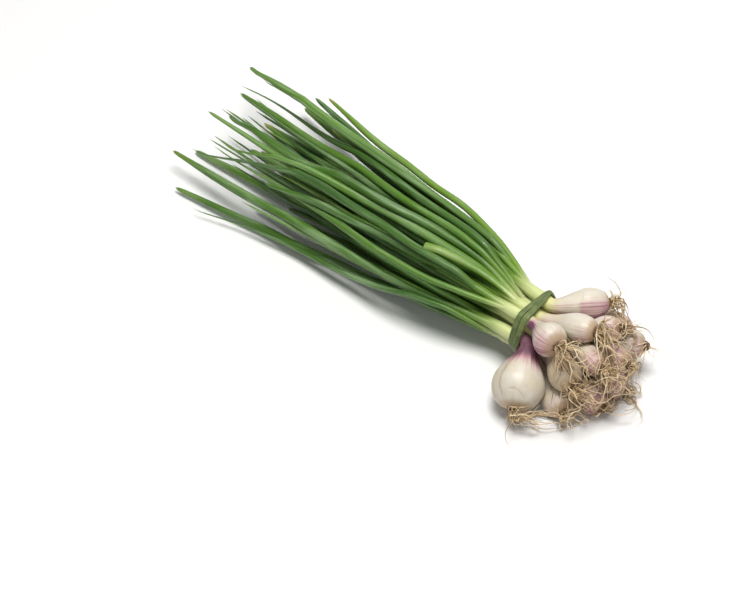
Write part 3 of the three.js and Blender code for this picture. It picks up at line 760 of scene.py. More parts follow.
def fine_line(points, count):
    """A smooth line through points, resampled evenly, with its length."""
    points = np.asarray(points, float)
    knots = run_along(points)
    line = curve_through(knots, points, np.linspace(0, knots[-1], count * 6))
    run = run_along(line)
    return read_line(np.linspace(0, run[-1], count), run, line), run[-1]


def room_in_box(edge):
    """The solids' lowest and highest corner in the bunch's millimetres, an edge inside them."""
    low, high = ((np.array(corner) - layout()["shift"]) * 1000 for corner in CAD_BOX)
    return low + edge, high - edge


def carried_frames(line):
    """Two axes square to a line at each of its points, without twist."""
    ahead = np.gradient(line, axis=0)
    ahead /= lengths(ahead)
    up = np.array([0.0, 0.0, 1.0])
    across_all, up_all = [], []
    for way in ahead:
        across = np.cross(up, way)
        across /= np.linalg.norm(across)
        up = np.cross(way, across)
        across_all.append(across)
        up_all.append(up)
    return np.array(across_all), np.array(up_all)


def deselect():
    """Leaves edit mode and selects nothing."""
    if bpy.context.object and bpy.context.object.mode != "OBJECT":
        bpy.ops.object.mode_set(mode="OBJECT")
    bpy.ops.object.select_all(action="DESELECT")


def wrap(name, rows, sides, place):
    """A grid wrapped into a closed skin. place takes where a point is along and around, from 0 to 1, and
    gives its spot in millimetres, its flow along and round the skin, and its marks for the material."""
    deselect()
    bpy.ops.mesh.primitive_grid_add(
        x_subdivisions=rows, y_subdivisions=sides, size=1, calc_uvs=True, location=(0, 0, 0)
    )
    piece = bpy.context.object
    piece.name = name
    piece.data.name = name
    mesh = piece.data
    spots = np.zeros(len(mesh.vertices) * 3)
    mesh.vertices.foreach_get("co", spots)
    spots = spots.reshape(-1, 3)
    along = np.round((spots[:, 0] + 0.5) * rows) / rows
    around = np.round((spots[:, 1] + 0.5) * sides) / sides
    place_at, *extra = place(along, around)
    mesh.vertices.foreach_set("co", to_frame(place_at).astype(np.float32).ravel())
    for label, values in zip(("flow", "marks", "skin"), extra):
        layer = mesh.attributes.new(label, "FLOAT_VECTOR", "POINT")
        layer.data.foreach_set("vector", np.asarray(values, np.float32).ravel())
    bpy.ops.object.mode_set(mode="EDIT")
    bpy.ops.mesh.select_all(action="SELECT")
    bpy.ops.mesh.remove_doubles(threshold=2e-7)
    bpy.ops.mesh.normals_make_consistent(inside=False)
    bpy.ops.object.mode_set(mode="OBJECT")
    bpy.ops.object.shade_smooth()
    return piece


def join(name, pieces):
    """One piece of several."""
    deselect()
    for piece in pieces:
        piece.select_set(True)
    bpy.context.view_layer.objects.active = pieces[0]
    if len(pieces) > 1:
        bpy.ops.object.join()
    whole = bpy.context.object
    whole.name = name
    whole.data.name = name
    return whole


def paint(piece, material):
    """Gives a piece one material."""
    piece.data.materials.clear()
    piece.data.materials.append(material)
    return piece


def seat(piece, node):
    """Lets a finished piece ride on the bunch in place of its solid."""
    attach(piece, "root")
    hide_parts(node)


# Materials.


def new_material(name):
    """An empty material with its shader, and a net to add nodes to it."""
    material = bpy.data.materials.new(name)
    material.use_nodes = True
    nodes = material.node_tree.nodes
    nodes.clear()
    out = nodes.new("ShaderNodeOutputMaterial")
    shader = nodes.new("ShaderNodeBsdfPrincipled")
    material.node_tree.links.new(shader.outputs["BSDF"], out.inputs["Surface"])
    return material, shader, Net(material.node_tree)


class Net:
    """Short calls for shader nodes in one tree."""

    def __init__(self, tree):
        self.tree = tree

    def link(self, value, socket):
        if isinstance(value, bpy.types.NodeSocket):
            self.tree.links.new(value, socket)
        else:
            socket.default_value = value

    def node(self, kind, **settings):
        made = self.tree.nodes.new(kind)
        for key, value in settings.items():
            setattr(made, key, value)
        return made

    def attribute(self, name):
        """What a skin carries under a name, such as its flow or its marks."""
        return self.node("ShaderNodeAttribute", attribute_name=name).outputs["Vector"]

    def place(self):
        """Where a point lies in the model."""
        return self.node("ShaderNodeTexCoord").outputs["Object"]

    def split(self, vector):
        made = self.node("ShaderNodeSeparateXYZ")
        self.link(vector, made.inputs[0])
        return made.outputs

    def combine(self, x, y, z):
        made = self.node("ShaderNodeCombineXYZ")
        for value, socket in zip((x, y, z), made.inputs):
            self.link(value, socket)
        return made.outputs[0]

    def math(self, operation, a, b=None, c=None):
        made = self.node("ShaderNodeMath", operation=operation)
        for value, socket in zip((a, b, c), made.inputs):
            if value is not None:
                self.link(value, socket)
        return made.outputs[0]

    def times(self, a, b):
        return self.math("MULTIPLY", a, b)

    def stretch(self, vector, scale):
        made = self.node("ShaderNodeVectorMath", operation="MULTIPLY")
        self.link(vector, made.inputs[0])
        made.inputs[1].default_value = scale
        return made.outputs[0]

    def noise(self, vector, scale, detail=3.0, rough=0.55):
        made = self.node("ShaderNodeTexNoise")
        self.link(vector, made.inputs["Vector"])
        self.link(scale, made.inputs["Scale"])
        made.inputs["Detail"].default_value = detail
        made.inputs["Roughness"].default_value = rough
        return made.outputs["Fac"]

    def span(self, value, low, high, to_low=0.0, to_high=1.0):
        """A soft step from one value to another, while the input goes from low to high."""
        made = self.node("ShaderNodeMapRange", interpolation_type="SMOOTHSTEP")
        ends = {"Value": value, "From Min": low, "From Max": high, "To Min": to_low, "To Max": to_high}
        for name, end in ends.items():
            self.link(end, made.inputs[name])
        return made.outputs["Result"]

    def blend(self, share, a, b):
        """Colour a with a share of colour b over it."""
        made = self.node("ShaderNodeMix", data_type="RGBA", clamp_factor=True)
        self.link(share, made.inputs["Factor"])
        for value, name in ((a, "A"), (b, "B")):
            socket = [s for s in made.inputs if s.name == name and s.type == "RGBA"][0]
            if not isinstance(value, bpy.types.NodeSocket):
                value = (*value[:3], 1.0)
            self.link(value, socket)
        return [s for s in made.outputs if s.type == "RGBA"][0]

    def bump(self, height, strength, distance):
        """A relief from a height that changes over the surface."""
        made = self.node("ShaderNodeBump")
        made.inputs["Strength"].default_value = strength
        made.inputs["Distance"].default_value = distance
        self.link(height, made.inputs["Height"])
        return made.outputs["Normal"]

    def group(self, tree, **values):
        """The outputs of a node group with its own values."""
        made = self.node("ShaderNodeGroup", node_tree=tree)
        for name, value in values.items():
            self.link(value, made.inputs[name])
        return made.outputs


def give_surface(net, shader, colour, rough, height=None, strength=0.0, depth=0.0):
    """Gives a shader its colour and roughness, and its relief's height, strength and depth."""
    net.link(colour, shader.inputs["Base Color"])
    net.link(rough, shader.inputs["Roughness"])
    if height:
        net.link(net.bump(height, strength, depth), shader.inputs["Normal"])


def let_light_in(shader, share, reach):
    """Lets a share of the light into a skin, as far as each colour reaches in metres."""
    shader.inputs["Subsurface Weight"].default_value = share
    shader.inputs["Subsurface Radius"].default_value = reach
    shader.inputs["Subsurface Scale"].default_value = 1.0


def mask_group(name, vector, values, masks):
    """A new node group that turns a vector and some values into masks: its tree, start, end and net."""
    tree = bpy.data.node_groups.new(name, "ShaderNodeTree")
    face = tree.interface
    face.new_socket(vector, in_out="INPUT", socket_type="NodeSocketVector")
    for label, value in values.items():
        face.new_socket(label, in_out="INPUT", socket_type="NodeSocketFloat").default_value = value
    for label in masks:
        face.new_socket(label, in_out="OUTPUT", socket_type="NodeSocketFloat")
    start, end = tree.nodes.new("NodeGroupInput"), tree.nodes.new("NodeGroupOutput")
    return tree, start.outputs, end.inputs, Net(tree)


def fibre_lines():
    """Node group: fine lines that run along a skin, from its flow."""
    name = "fibre lines"
    if name in bpy.data.node_groups:
        return bpy.data.node_groups[name]
    values = {"Density": 1.0, "Drift": 0.02}
    tree, start, end, net = mask_group(name, "Flow", values, ("Lines", "Streaks"))
    x, y, z = net.split(start["Flow"])
    across = (net.times(part, start["Density"]) for part in (x, y))
    wide = net.combine(*across, net.times(z, start["Drift"]))
    net.link(net.span(net.noise(wide, 1.6, 2.0, 0.5), 0.42, 0.62), end["Lines"])
    net.link(net.noise(wide, 0.45, 3.0, 0.6), end["Streaks"])
    return tree


def grime():
    """Node group: scattered specks and soft dull patches, from a position."""
    name = "specks and patches"
    if name in bpy.data.node_groups:
        return bpy.data.node_groups[name]
    tree, start, end, net = mask_group(name, "Place", {"Size": 400.0}, ("Specks", "Patches"))
    net.link(net.span(net.noise(start["Place"], start["Size"], 2.0, 0.5), 0.66, 0.74), end["Specks"])
    net.link(net.span(net.noise(start["Place"], 60.0, 3.0), 0.4, 0.7), end["Patches"])
    return tree


def bulb_material(look):
    """White, waxy skin with green at the neck and purple in streaks."""
    material, shader, net = new_material("onion bulb skin")
    flow = net.attribute("flow")
    ahead, blush, green_reach = net.split(net.attribute("marks"))
    # the skin's third value is the crease mask, darkened below as painted shade
    from_plate, tan, crease = net.split(net.attribute("skin"))
    place = net.place()
    fibres = net.group(fibre_lines(), Flow=flow, Density=0.9, Drift=0.012)
    specks = net.group(grime(), Place=place, Size=700.0)
    soft_tone = net.noise(place, 90.0, 3.0)
    skin = net.blend(net.span(soft_tone, 0.3, 0.75), look.white, look.cream)
    dry_skin = net.blend(net.span(fibres["Streaks"], 0.3, 0.7), look.beige, look.cream)
    skin = net.blend(net.times(tan, net.span(soft_tone, 0.2, 0.6, 0.6, 1.0)), skin, dry_skin)
    skin = net.blend(net.times(fibres["Lines"], 0.20), skin, (0.56, 0.50, 0.32))
    streaky = net.math("SUBTRACT", fibres["Streaks"], 0.5)
    reach = net.math("MULTIPLY_ADD", streaky, 0.016, ahead)
    over = net.math("DIVIDE", reach, net.math("MAXIMUM", green_reach, 0.0005))
    skin = net.blend(net.span(over, 0.35, 2.1, 0.9, 0.0), skin, look.neck_green)
    edged = net.math("MULTIPLY_ADD", net.math("SUBTRACT", fibres["Lines"], 0.4), 0.42, blush)
    edged = net.math("MULTIPLY_ADD", streaky, 1.7, edged)
    purple = net.times(net.span(edged, 0.18, 1.0), net.span(blush, 0.03, 0.25))
    deep = net.blend(net.span(edged, 0.65, 1.5), look.pink, look.purple)
    skin = net.blend(net.times(purple, 0.93), skin, deep)
    low = net.math("MULTIPLY_ADD", streaky, 0.004, from_plate)
    skin = net.blend(net.span(low, 0.0010, 0.0046, 0.65, 0.0), skin, look.papery)
    # painted shade: dark brown along the creases of the largest bulb
    skin = net.blend(net.times(crease, 0.55), skin, (0.20, 0.13, 0.07))
    skin = net.blend(net.times(specks["Specks"], 0.30), skin, (0.26, 0.18, 0.10))
    skin = net.blend(net.times(specks["Patches"], 0.14), skin, (0.56, 0.44, 0.29))
    let_light_in(shader, 0.18, (0.004, 0.003, 0.002))
    shader.inputs["Coat Weight"].default_value = 0.06
    shader.inputs["Coat Roughness"].default_value = 0.3
    height = net.math("ADD", fibres["Lines"], net.times(fibres["Streaks"], 1.5))
    give_surface(net, shader, skin, net.span(soft_tone, 0.2, 0.8, 0.36, 0.52), height, 0.3, 0.0002)
    return material


def leaf_material(look):
    """Pale at the tie, then fresh to dark green, with lighter grey-green patches that are waxy bloom and
    painted highlight, fine lines and dry tips.
    """
    material, shader, net = new_material("onion leaf skin")
    flow = net.attribute("flow")
    behind, to_tip, seed = net.split(net.attribute("marks"))
    fibres = net.group(fibre_lines(), Flow=flow, Density=1.6, Drift=0.006)
    bloom_noise = net.noise(net.stretch(flow, (0.25, 0.25, 0.03)), 1.0, 4.0)
    green = net.blend(net.span(seed, 0.1, 0.75), look.dark_green, look.green)
    # the cut leaf is only fresh at its end
    whole = net.span(seed, 0.955, 0.965, 1.0, 0.0)
    fresh = net.math("MAXIMUM", whole, net.span(to_tip, 0.014, 0.038, 1.0, 0.0))
    young = net.times(net.span(seed, 0.66, 0.98, 0.0, 0.75), fresh)
    green = net.blend(young, green, look.lime)
    patch = net.noise(net.stretch(flow, (0.1, 0.1, 0.012)), 1.0, 3.0)
    green = net.blend(net.span(patch, 0.35, 0.7, 0.0, 0.5), green, look.green)
    start = net.math("MULTIPLY_ADD", net.math("SUBTRACT", fibres["Streaks"], 0.5), 0.02, behind)
    green = net.blend(net.span(start, 0.010, 0.056, 1.0, 0.0), green, look.lime)
    green = net.blend(net.span(start, 0.008, 0.030, 1.0, 0.0), green, look.pale)
    green = net.blend(net.times(fibres["Lines"], 0.16), green, (0.24, 0.40, 0.09))
    end = net.times(net.span(seed, 0.955, 1.0, 0.0, 0.10), fresh)
    green = net.blend(end, green, look.pale)
    # lighter grey-green patches: waxy bloom, made pale enough to serve as painted highlight too
    bloom_and_highlight = net.times(net.span(bloom_noise, 0.4, 0.75), net.span(behind, 0.03, 0.12))
    green = net.blend(net.times(bloom_and_highlight, 0.40), green, look.bloom_and_highlight)
    which = net.math("FRACT", net.times(seed, 7.3))
    yellow = net.times(net.span(to_tip, 0.0, 0.030, 1.0, 0.0), net.span(which, 0.3, 0.5))
    green = net.blend(net.times(yellow, 0.6), green, look.lime)
    dry = net.times(net.span(to_tip, 0.0, 0.009, 1.0, 0.0), net.span(which, 0.55, 0.7))
    green = net.blend(net.times(dry, 0.9), green, look.dry)
    let_light_in(shader, 0.08, (0.001, 0.002, 0.0006))
    rough = net.span(bloom_noise, 0.3, 0.8, 0.28, 0.46)
    give_surface(net, shader, green, rough, fibres["Lines"], 0.3, 0.00012)
    return material


def root_material(look):
    """Dry, earthy straw colour, darker at the plate."""
    material, shader, net = new_material("onion root")
    place = net.place()
    tone = net.noise(place, 160.0, 4.0)
    broad = net.noise(place, 45.0, 2.0)
    specks = net.group(grime(), Place=place, Size=1500.0)
    seed, along, _ = net.split(net.attribute("marks"))
    mixed = net.math("MULTIPLY_ADD", net.math("SUBTRACT", tone, 0.5), 1.2, seed)
    colour = net.blend(net.span(mixed, 0.1, 0.8), look.straw, look.tan)
    colour = net.blend(net.span(mixed, 0.75, 1.05, 0.0, 0.75), colour, look.brown)
    colour = net.blend(net.span(broad, 0.5, 0.75, 0.0, 0.45), colour, look.brown)
    colour = net.blend(net.span(along, 0.0, 0.10, 0.6, 0.0), colour, look.brown)
    colour = net.blend(net.times(specks["Specks"], 0.5), colour, (0.10, 0.06, 0.035))
    grain = net.noise(place, 1800.0, 2.0)
    give_surface(net, shader, colour, net.span(tone, 0.2, 0.8, 0.7, 0.95), grain, 0.35, 0.00015)
    return material


def plate_material(look):
    """Rough brown cork of the root plate, flecked with tan."""
    material, shader, net = new_material("onion root plate")
    place = net.place()
    tone = net.noise(place, 500.0, 5.0)
    colour = net.blend(net.span(tone, 0.3, 0.7), (0.10, 0.055, 0.025), look.brown)
    colour = net.blend(net.span(tone, 0.6, 0.8), colour, look.tan)
    give_surface(net, shader, colour, net.span(tone, 0.2, 0.8, 0.75, 0.95), tone, 0.7, 0.0006)
    return material


def tie_material(look):
    """Flattened leaf strip: fibres, creases, a soft gloss, and edges lightened as a painted highlight."""
    material, shader, net = new_material("leaf strip")
    flow = net.attribute("flow")
    place = net.place()
    fibres = net.group(fibre_lines(), Flow=flow, Density=2.2, Drift=0.01)
    patch = net.noise(place, 130.0, 3.0)
    colour = net.blend(net.span(patch, 0.35, 0.7), look.strip, look.strip_dark)
    colour = net.blend(net.times(fibres["Lines"], 0.35), colour, look.strip_fibres_and_highlight)
    colour = net.blend(net.span(fibres["Streaks"], 0.5, 0.8, 0.0, 0.4), colour, look.strip_dark)
    # painted highlight: the strip is lighter towards both edges of its section
    edge = net.split(net.attribute("marks"))[0]
    colour = net.blend(net.span(edge, 0.70, 1.0, 0.0, 0.60), colour, look.strip_fibres_and_highlight)
    height = net.math("ADD", fibres["Lines"], net.times(fibres["Streaks"], 1.2))
    give_surface(net, shader, colour, net.span(patch, 0.3, 0.8, 0.38, 0.6), height, 0.5, 0.0003)
    return material


def floor_material(look):
    """Matt, pale table top, hardly uneven in tone."""
    material, shader, net = new_material("pale table")
    tone = net.span(net.noise(net.place(), 3.0, 2.0), 0.3, 0.7)
    give_surface(net, shader, net.blend(tone, look.floor, [c * 0.985 for c in look.floor]), 0.9)
    return material


# Settings.


def colour(name, words, value):
    """A colour that can be set."""
    return bpy.props.FloatVectorProperty(
        name=name, description=words, subtype="COLOR", size=3, min=0, max=1, default=value
    )


class BulbSettings(bpy.types.PropertyGroup):
    """Colours of the bulbs"""

    white: colour("White", "Skin of a white bulb", (0.66, 0.625, 0.555))
    cream: colour("Cream", "Warmer patches of a white bulb", (0.60, 0.525, 0.40))
    beige: colour("Beige", "Dry outer skin", (0.50, 0.37, 0.22))
    papery: colour("Papery", "Brown skin round the root plate", (0.40, 0.25, 0.12))
    pink: colour("Pink", "Light purple blush", (0.54, 0.27, 0.33))
    purple: colour("Purple", "Deep purple streaks", (0.120, 0.019, 0.080))
    neck_green: colour("Neck", "Necks next to the tie", (0.62, 0.64, 0.24))
    furrow: bpy.props.FloatProperty(
        name="Furrow", description="Depth of the furrow in the largest bulb", default=0.0009, unit="LENGTH"
    )


class LeafSettings(bpy.types.PropertyGroup):
    """Colours and section of the leaves"""

    pale: colour("Pale", "Stems next to the tie", (0.61, 0.65, 0.30))
    lime: colour("Lime", "Young green behind the tie", (0.165, 0.285, 0.028))
    green: colour("Green", "Fresh green of the leaves", (0.088, 0.205, 0.018))
    dark_green: colour("Dark green", "Deep green of the leaves", (0.019, 0.074, 0.010))
    # waxy bloom, lightened to stand in for soft highlights as well: partly painted highlight
    bloom_and_highlight: colour("Bloom", "Waxy grey-green bloom", (0.40, 0.54, 0.31))
    dry: colour("Dry tips", "Withered tips", (0.42, 0.33, 0.12))
    section: bpy.props.FloatProperty(
        name="Roundness", description="Height of a leaf's section for its width", default=0.9, min=0.5, max=1
    )


class RootSettings(bpy.types.PropertyGroup):
    """Colours, number and thickness of the roots"""

    straw: colour("Straw", "Light roots", (0.80, 0.65, 0.43))
    tan: colour("Tan", "Darker roots", (0.50, 0.35, 0.19))
    brown: colour("Brown", "Earthy roots and root plates", (0.14, 0.08, 0.04))
    strands: bpy.props.IntProperty(
        name="Roots", description="Free roots of each plant", default=40, min=1, max=90
    )
    followers: bpy.props.IntProperty(
        name="Followers", description="Roots that follow each leading root", default=3, min=0, max=12
    )
    hairs: bpy.props.IntProperty(
        name="Hairs", description="Fine hairs of each plant", default=8, min=0, max=40
    )
    thickness: bpy.props.FloatProperty(
        name="Thickness", description="Radius of a root", default=0.00045, unit="LENGTH"
    )


class TieSettings(bpy.types.PropertyGroup):
    """Colours of the tie"""

    strip: colour("Strip", "Leaf strip", (0.150, 0.200, 0.058))
    strip_dark: colour("Strip, dark", "Bruised parts of the strip", (0.045, 0.065, 0.016))
    # light green of the strip's fibres, also painted along its edges as a highlight
    strip_fibres_and_highlight: colour("Strip, light", "Fibres of the strip", (0.28, 0.34, 0.14))


class StageSettings(bpy.types.PropertyGroup):
    """Camera and table"""

    azimuth: bpy.props.FloatProperty(
        name="Azimuth", description="Camera's turn round the bunch", default=VIEW_TURN, subtype="ANGLE"
    )
    elevation: bpy.props.FloatProperty(
        name="Elevation", description="Camera's height above the table", default=VIEW_HEIGHT,
        subtype="ANGLE",
    )
    scale: bpy.props.FloatProperty(
        name="Scale", description="Metres that one pixel of the picture covers", default=PIXEL
    )
    lens: bpy.props.FloatProperty(name="Lens", description="Focal length in millimetres", default=LENS)
    floor: colour("Table", "Table top", (0.84, 0.84, 0.84))


# The pieces.


def fold_largest(look, length, distance, turn, radius):
    """The furrow and the fold down the largest bulb: its radius with them, and a mask where the skin
    creases, which the material darkens as painted shade.
    """
    from_plate = length - distance
    way = 0.62 + 0.30 * smooth(distance, 8, length) - 0.25 * smooth(distance, length - 14, length)
    off = (turn - way) * radius
    window = smooth(distance, 4, 13) * smooth(from_plate, 2, 9)
    # mask of painted shade along the furrow's crease
    crease = np.exp(-((off / 0.55) ** 2)) * window
    radius = radius - look.furrow * 1000 * np.exp(-((off / 1.0) ** 2)) * window
    radius = radius - 1.5 * smooth(turn - way, 0, 0.12) * (1 - smooth(turn - way, 0.5, 1.7)) * window
    radius = radius + 0.9 * np.exp(-(((turn - way - 0.75) / 0.4) ** 2)) * window
    # a short crease across the bulb, above its plate, dented and darkened with painted shade
    bow = from_plate - 9.5 + 4.0 * (turn - 0.25) ** 2 * 4
    short = np.exp(-((bow / 0.35) ** 2)) * smooth(0.45 - np.abs(turn - 0.05), 0, 0.15)
    return radius - 0.25 * short, np.maximum(crease, 0.8 * short)


def purple_share(number, distance, from_plate, turn, split, wave):
    """How purple a bulb's skin is: round the neck, and lower down where its outer skin has split off."""
    neck_purple, neck_reach, low_purple, low_reach, side, _, green_reach = SKINS[number]
    at_neck = smooth(distance, green_reach * 0.4, green_reach + 3) * (
        1 - smooth(distance, neck_reach * 0.25, neck_reach * 1.75 + 5)
    )
    if number == PATCHED:
        at_neck = at_neck * (0.35 + 0.65 * smooth(turn, -0.6, 0.4))
    if low_purple > 1:
        low = smooth(split - from_plate, -0.6, 2.0) * (0.62 + 0.10 * wave)
        low = low + 0.25 * (1 - smooth(from_plate, 1, 9))
        low = low * smooth(turn + 1.15, 0, 1.9) if side else low
    else:
        low = 1 - smooth(from_plate, low_reach * 0.45, low_reach * 1.3)
        low = low * (0.62 + 0.38 * np.cos(turn - side)) if side else low
    return neck_purple * at_neck + low_purple * low


def bulb_skin(number, rope, look):
    """Skin of one bulb and its neck."""
    draw = dice(BULB_SKIN_SEED + number * 37)
    plant = rope["plant"]
    rows, sides = 116, 80
    line, length = fine_line(rope["spots"], rows + 1)
    across, up = carried_frames(line)
    _, _, low_purple, low_reach, _, tan, green_reach = SKINS[number]
    dents, swell = ripple(draw, 3, 0.7, 2.2), ripple(draw, 3, 0.10, 0.35)
    phase = draw(0, 2 * math.pi)
    edge, lean = draw(-0.9, 0.9), draw(-0.03, 0.03)
    jag = ripple(draw, 4, 2, 7)
    shape = [(draw(-1, 1), draw(0, 2 * math.pi)) for _ in range(3)]

    # the side of the bulb that the camera faces
    belly = int(rows * (1 - plant[1] * 0.95 * plant[2] / length))
    facing = math.atan2(*(float(np.dot(VIEW_BACK, axes[belly])) for axes in (up, across)))

    def place(along, around):
        share = np.clip((along * rows - 1) / (rows - 2), 0, 1)
        # rows stand closer together on the round bulb
        distance = length * (0.62 * share + 0.38 * np.sin(share * math.pi / 2))
        from_plate = length - distance
        radius = bulb_radius(plant, from_plate)
        theta = round_angle(around)
        x, y = np.cos(theta), np.sin(theta)
        turn = angle_from(theta, facing)
        body = np.clip((radius - plant[3]) / (plant[1] - plant[3]), 0, 1)
        # not quite round, with soft dents, and fine ribs along the skin
        wobble = sum(0.011 * a * np.cos((n + 2) * theta + p) for n, (a, p) in enumerate(shape))
        wobble = wobble + 0.012 * dents(2 * x + 0.05 * distance) + 0.016 * swell(distance)
        radius = radius * (1 + wobble * (0.3 + body))
        ribs = np.sin(theta * 17 + phase) + 0.7 * np.sin(theta * 29 - phase) + 0.6 * np.sin(theta * 43)
        near = 0.35 + 0.65 * smooth(plant[1] * 0.9 - from_plate, 0, plant[1] * 0.8)
        radius = radius + 0.055 * ribs * near * smooth(distance, -4, 6)
        # the edge of the outer skin, torn off over the lower half or round the neck
        split = length - 9 + 1.4 * jag(theta)
        if low_purple > 1:
            split = low_reach + 2.6 * jag(theta) + 2.0 * turn
        outer = smooth(split - from_plate, 0, 1.2)
        radius = radius + 0.28 * outer * smooth(from_plate, 0, 3)
        slit = angle_from(turn - edge, lean * distance)
        window = smooth(distance, 6, 12) * smooth(from_plate, 3, 9)
        radius = radius + 0.16 * smooth(slit, -0.02, 0.05) * (1 - smooth(slit, 0.8, 2.4)) * window
        crease = np.zeros_like(radius)
        if number == LARGEST:
            radius, crease = fold_largest(look, length, distance, turn, radius)
        radius = np.where((along < 0.5 / rows) | (along > 1 - 0.5 / rows), 0, radius)
        k = distance / length * rows
        centre, side_way, top = (read_line(k, np.arange(rows + 1), part) for part in (line, across, up))
        spots = centre + side_way * (x * radius)[:, None] + top * (y * radius)[:, None]
        spots[:, 2] = np.maximum(spots[:, 2], 0.06)
        flow = np.stack([x * 6, y * 6, distance], -1)
        blush = purple_share(number, distance, from_plate, turn, split, np.sin(theta * 5 + phase))
        marks = np.stack([distance / 1000, blush, np.full_like(distance, green_reach / 1000)], -1)
        # skin: distance from the plate, dry beige share, and the crease mask for painted shade
        skin = np.stack([from_plate / 1000, np.full_like(distance, tan), crease], -1)
        return spots, flow, marks, skin

    return wrap("bulb_skin_%02d" % (number + 1), rows, sides, place)


def leaf_skin(strand, look, draw):
    """Skin of one leaf: a hollow-looking tube, a little flattened, with a channel and a worn tip."""
    stem = strand["stem"]
    start = STATIONS[0] if stem else STATIONS[1]
    long = strand["reach"] - start
    low, high = room_in_box(LEAF_MARGIN)
    rows = max(14, int(long / (1.6 if stem else 2.3)))
    sides = 22 if stem else 16
    distance = np.linspace(start, strand["reach"], rows + 1)
    if strand["cut"]:
        distance[-4:-1] = strand["reach"] - np.array([1.0, 0.5, 0.15])
    line, radius = leaf_line(strand, distance)
    wiggle_y, wiggle_z = ripple(draw, 3, 0.04, 0.13), ripple(draw, 3, 0.04, 0.13)
    calm = smooth(distance, 40, 110) * (0 if stem else 1)
    line[:, 1] += 0.7 * wiggle_y(distance) * calm
    line[:, 2] += 0.35 * wiggle_z(distance) * calm
    if not stem and "tone" not in strand:
        # the tip runs on nearly straight
        knee = int(np.searchsorted(distance, strand["reach"] - 34))
        slope = (line[knee] - line[knee - 3]) / (distance[knee] - distance[knee - 3])
        onward = line[knee] + slope * (distance - distance[knee])[:, None]
        share = 0.75 * smooth(distance, distance[knee], strand["reach"])[:, None]
        line = line * (1 - share) + onward * share
    across, up = carried_frames(line)
    twist = draw(0, 2 * math.pi) + ripple(draw, 2, 0.004, 0.02)(distance) * 1.1
    channel = draw(0, 2 * math.pi)
    flat = look.section + 0.06 * ripple(draw, 2, 0.01, 0.04)(distance)
    left = strand["reach"] - distance
    if stem:
        cap = np.sqrt(np.clip(1 - (1 - np.clip(left / 9, 0, 1)) ** 2, 0, 1))
    elif strand["blunt"]:
        rounding = draw(9, 20) * 0.45
        if strand["cut"]:
            rounding = 1.0
        cap = np.sqrt(np.clip(1 - (1 - np.clip(left / rounding, 0, 1)) ** 2, 0, 1))
        cap = cap * (1 if strand["cut"] else 0.74 + 0.26 * smooth(left, 0, 32))
    else:
        cap = np.clip(left / 9, 0, 1) ** 0.8
    radius = radius * cap
    line[:, 2] = np.maximum(line[:, 2], radius + 0.02)
    seed = draw(0, 0.86)
    if strand["cut"]:
        seed = 0.97
    seed = strand.get("tone", seed)

    def place(along, around):
        k = np.round(along * rows).astype(int)
        theta = round_angle(around)
        r = np.where((k == 0) | (k == rows), 0, radius[k])
        turn = angle_from(theta, channel)
        r_here = r * (1 - (0 if stem else 0.07) * np.exp(-((turn / 0.5) ** 2)))
        x, y = np.cos(theta) * r_here, np.sin(theta) * r_here * (1 if stem else flat[k])
        x, y = tilted(x, y, twist[k])
        spots = line[k] + across[k] * x[:, None] + up[k] * y[:, None]
        spots = np.clip(spots, low, high)
        flow = np.stack([np.cos(theta) * 3 + seed * 40, np.sin(theta) * 3, distance[k] + seed * 900], -1)
        marks = np.stack([distance[k] / 1000, left[k] / 1000, np.full(len(k), seed)], -1)
        return spots, flow, marks

    return wrap("leaf", rows, sides, place)


def heap_walls():
    """The edges of the heap of roots as directions, with how far a root goes along each."""
    tie = np.array([0.0, 0.0, TIE_HEIGHT])
    ways = [(VIEW_RIGHT * right + VIEW_UP * up, reach) for right, up, reach in HEAP_EDGES]
    return [(way, reach + float(way @ tie)) for way, reach in ways]


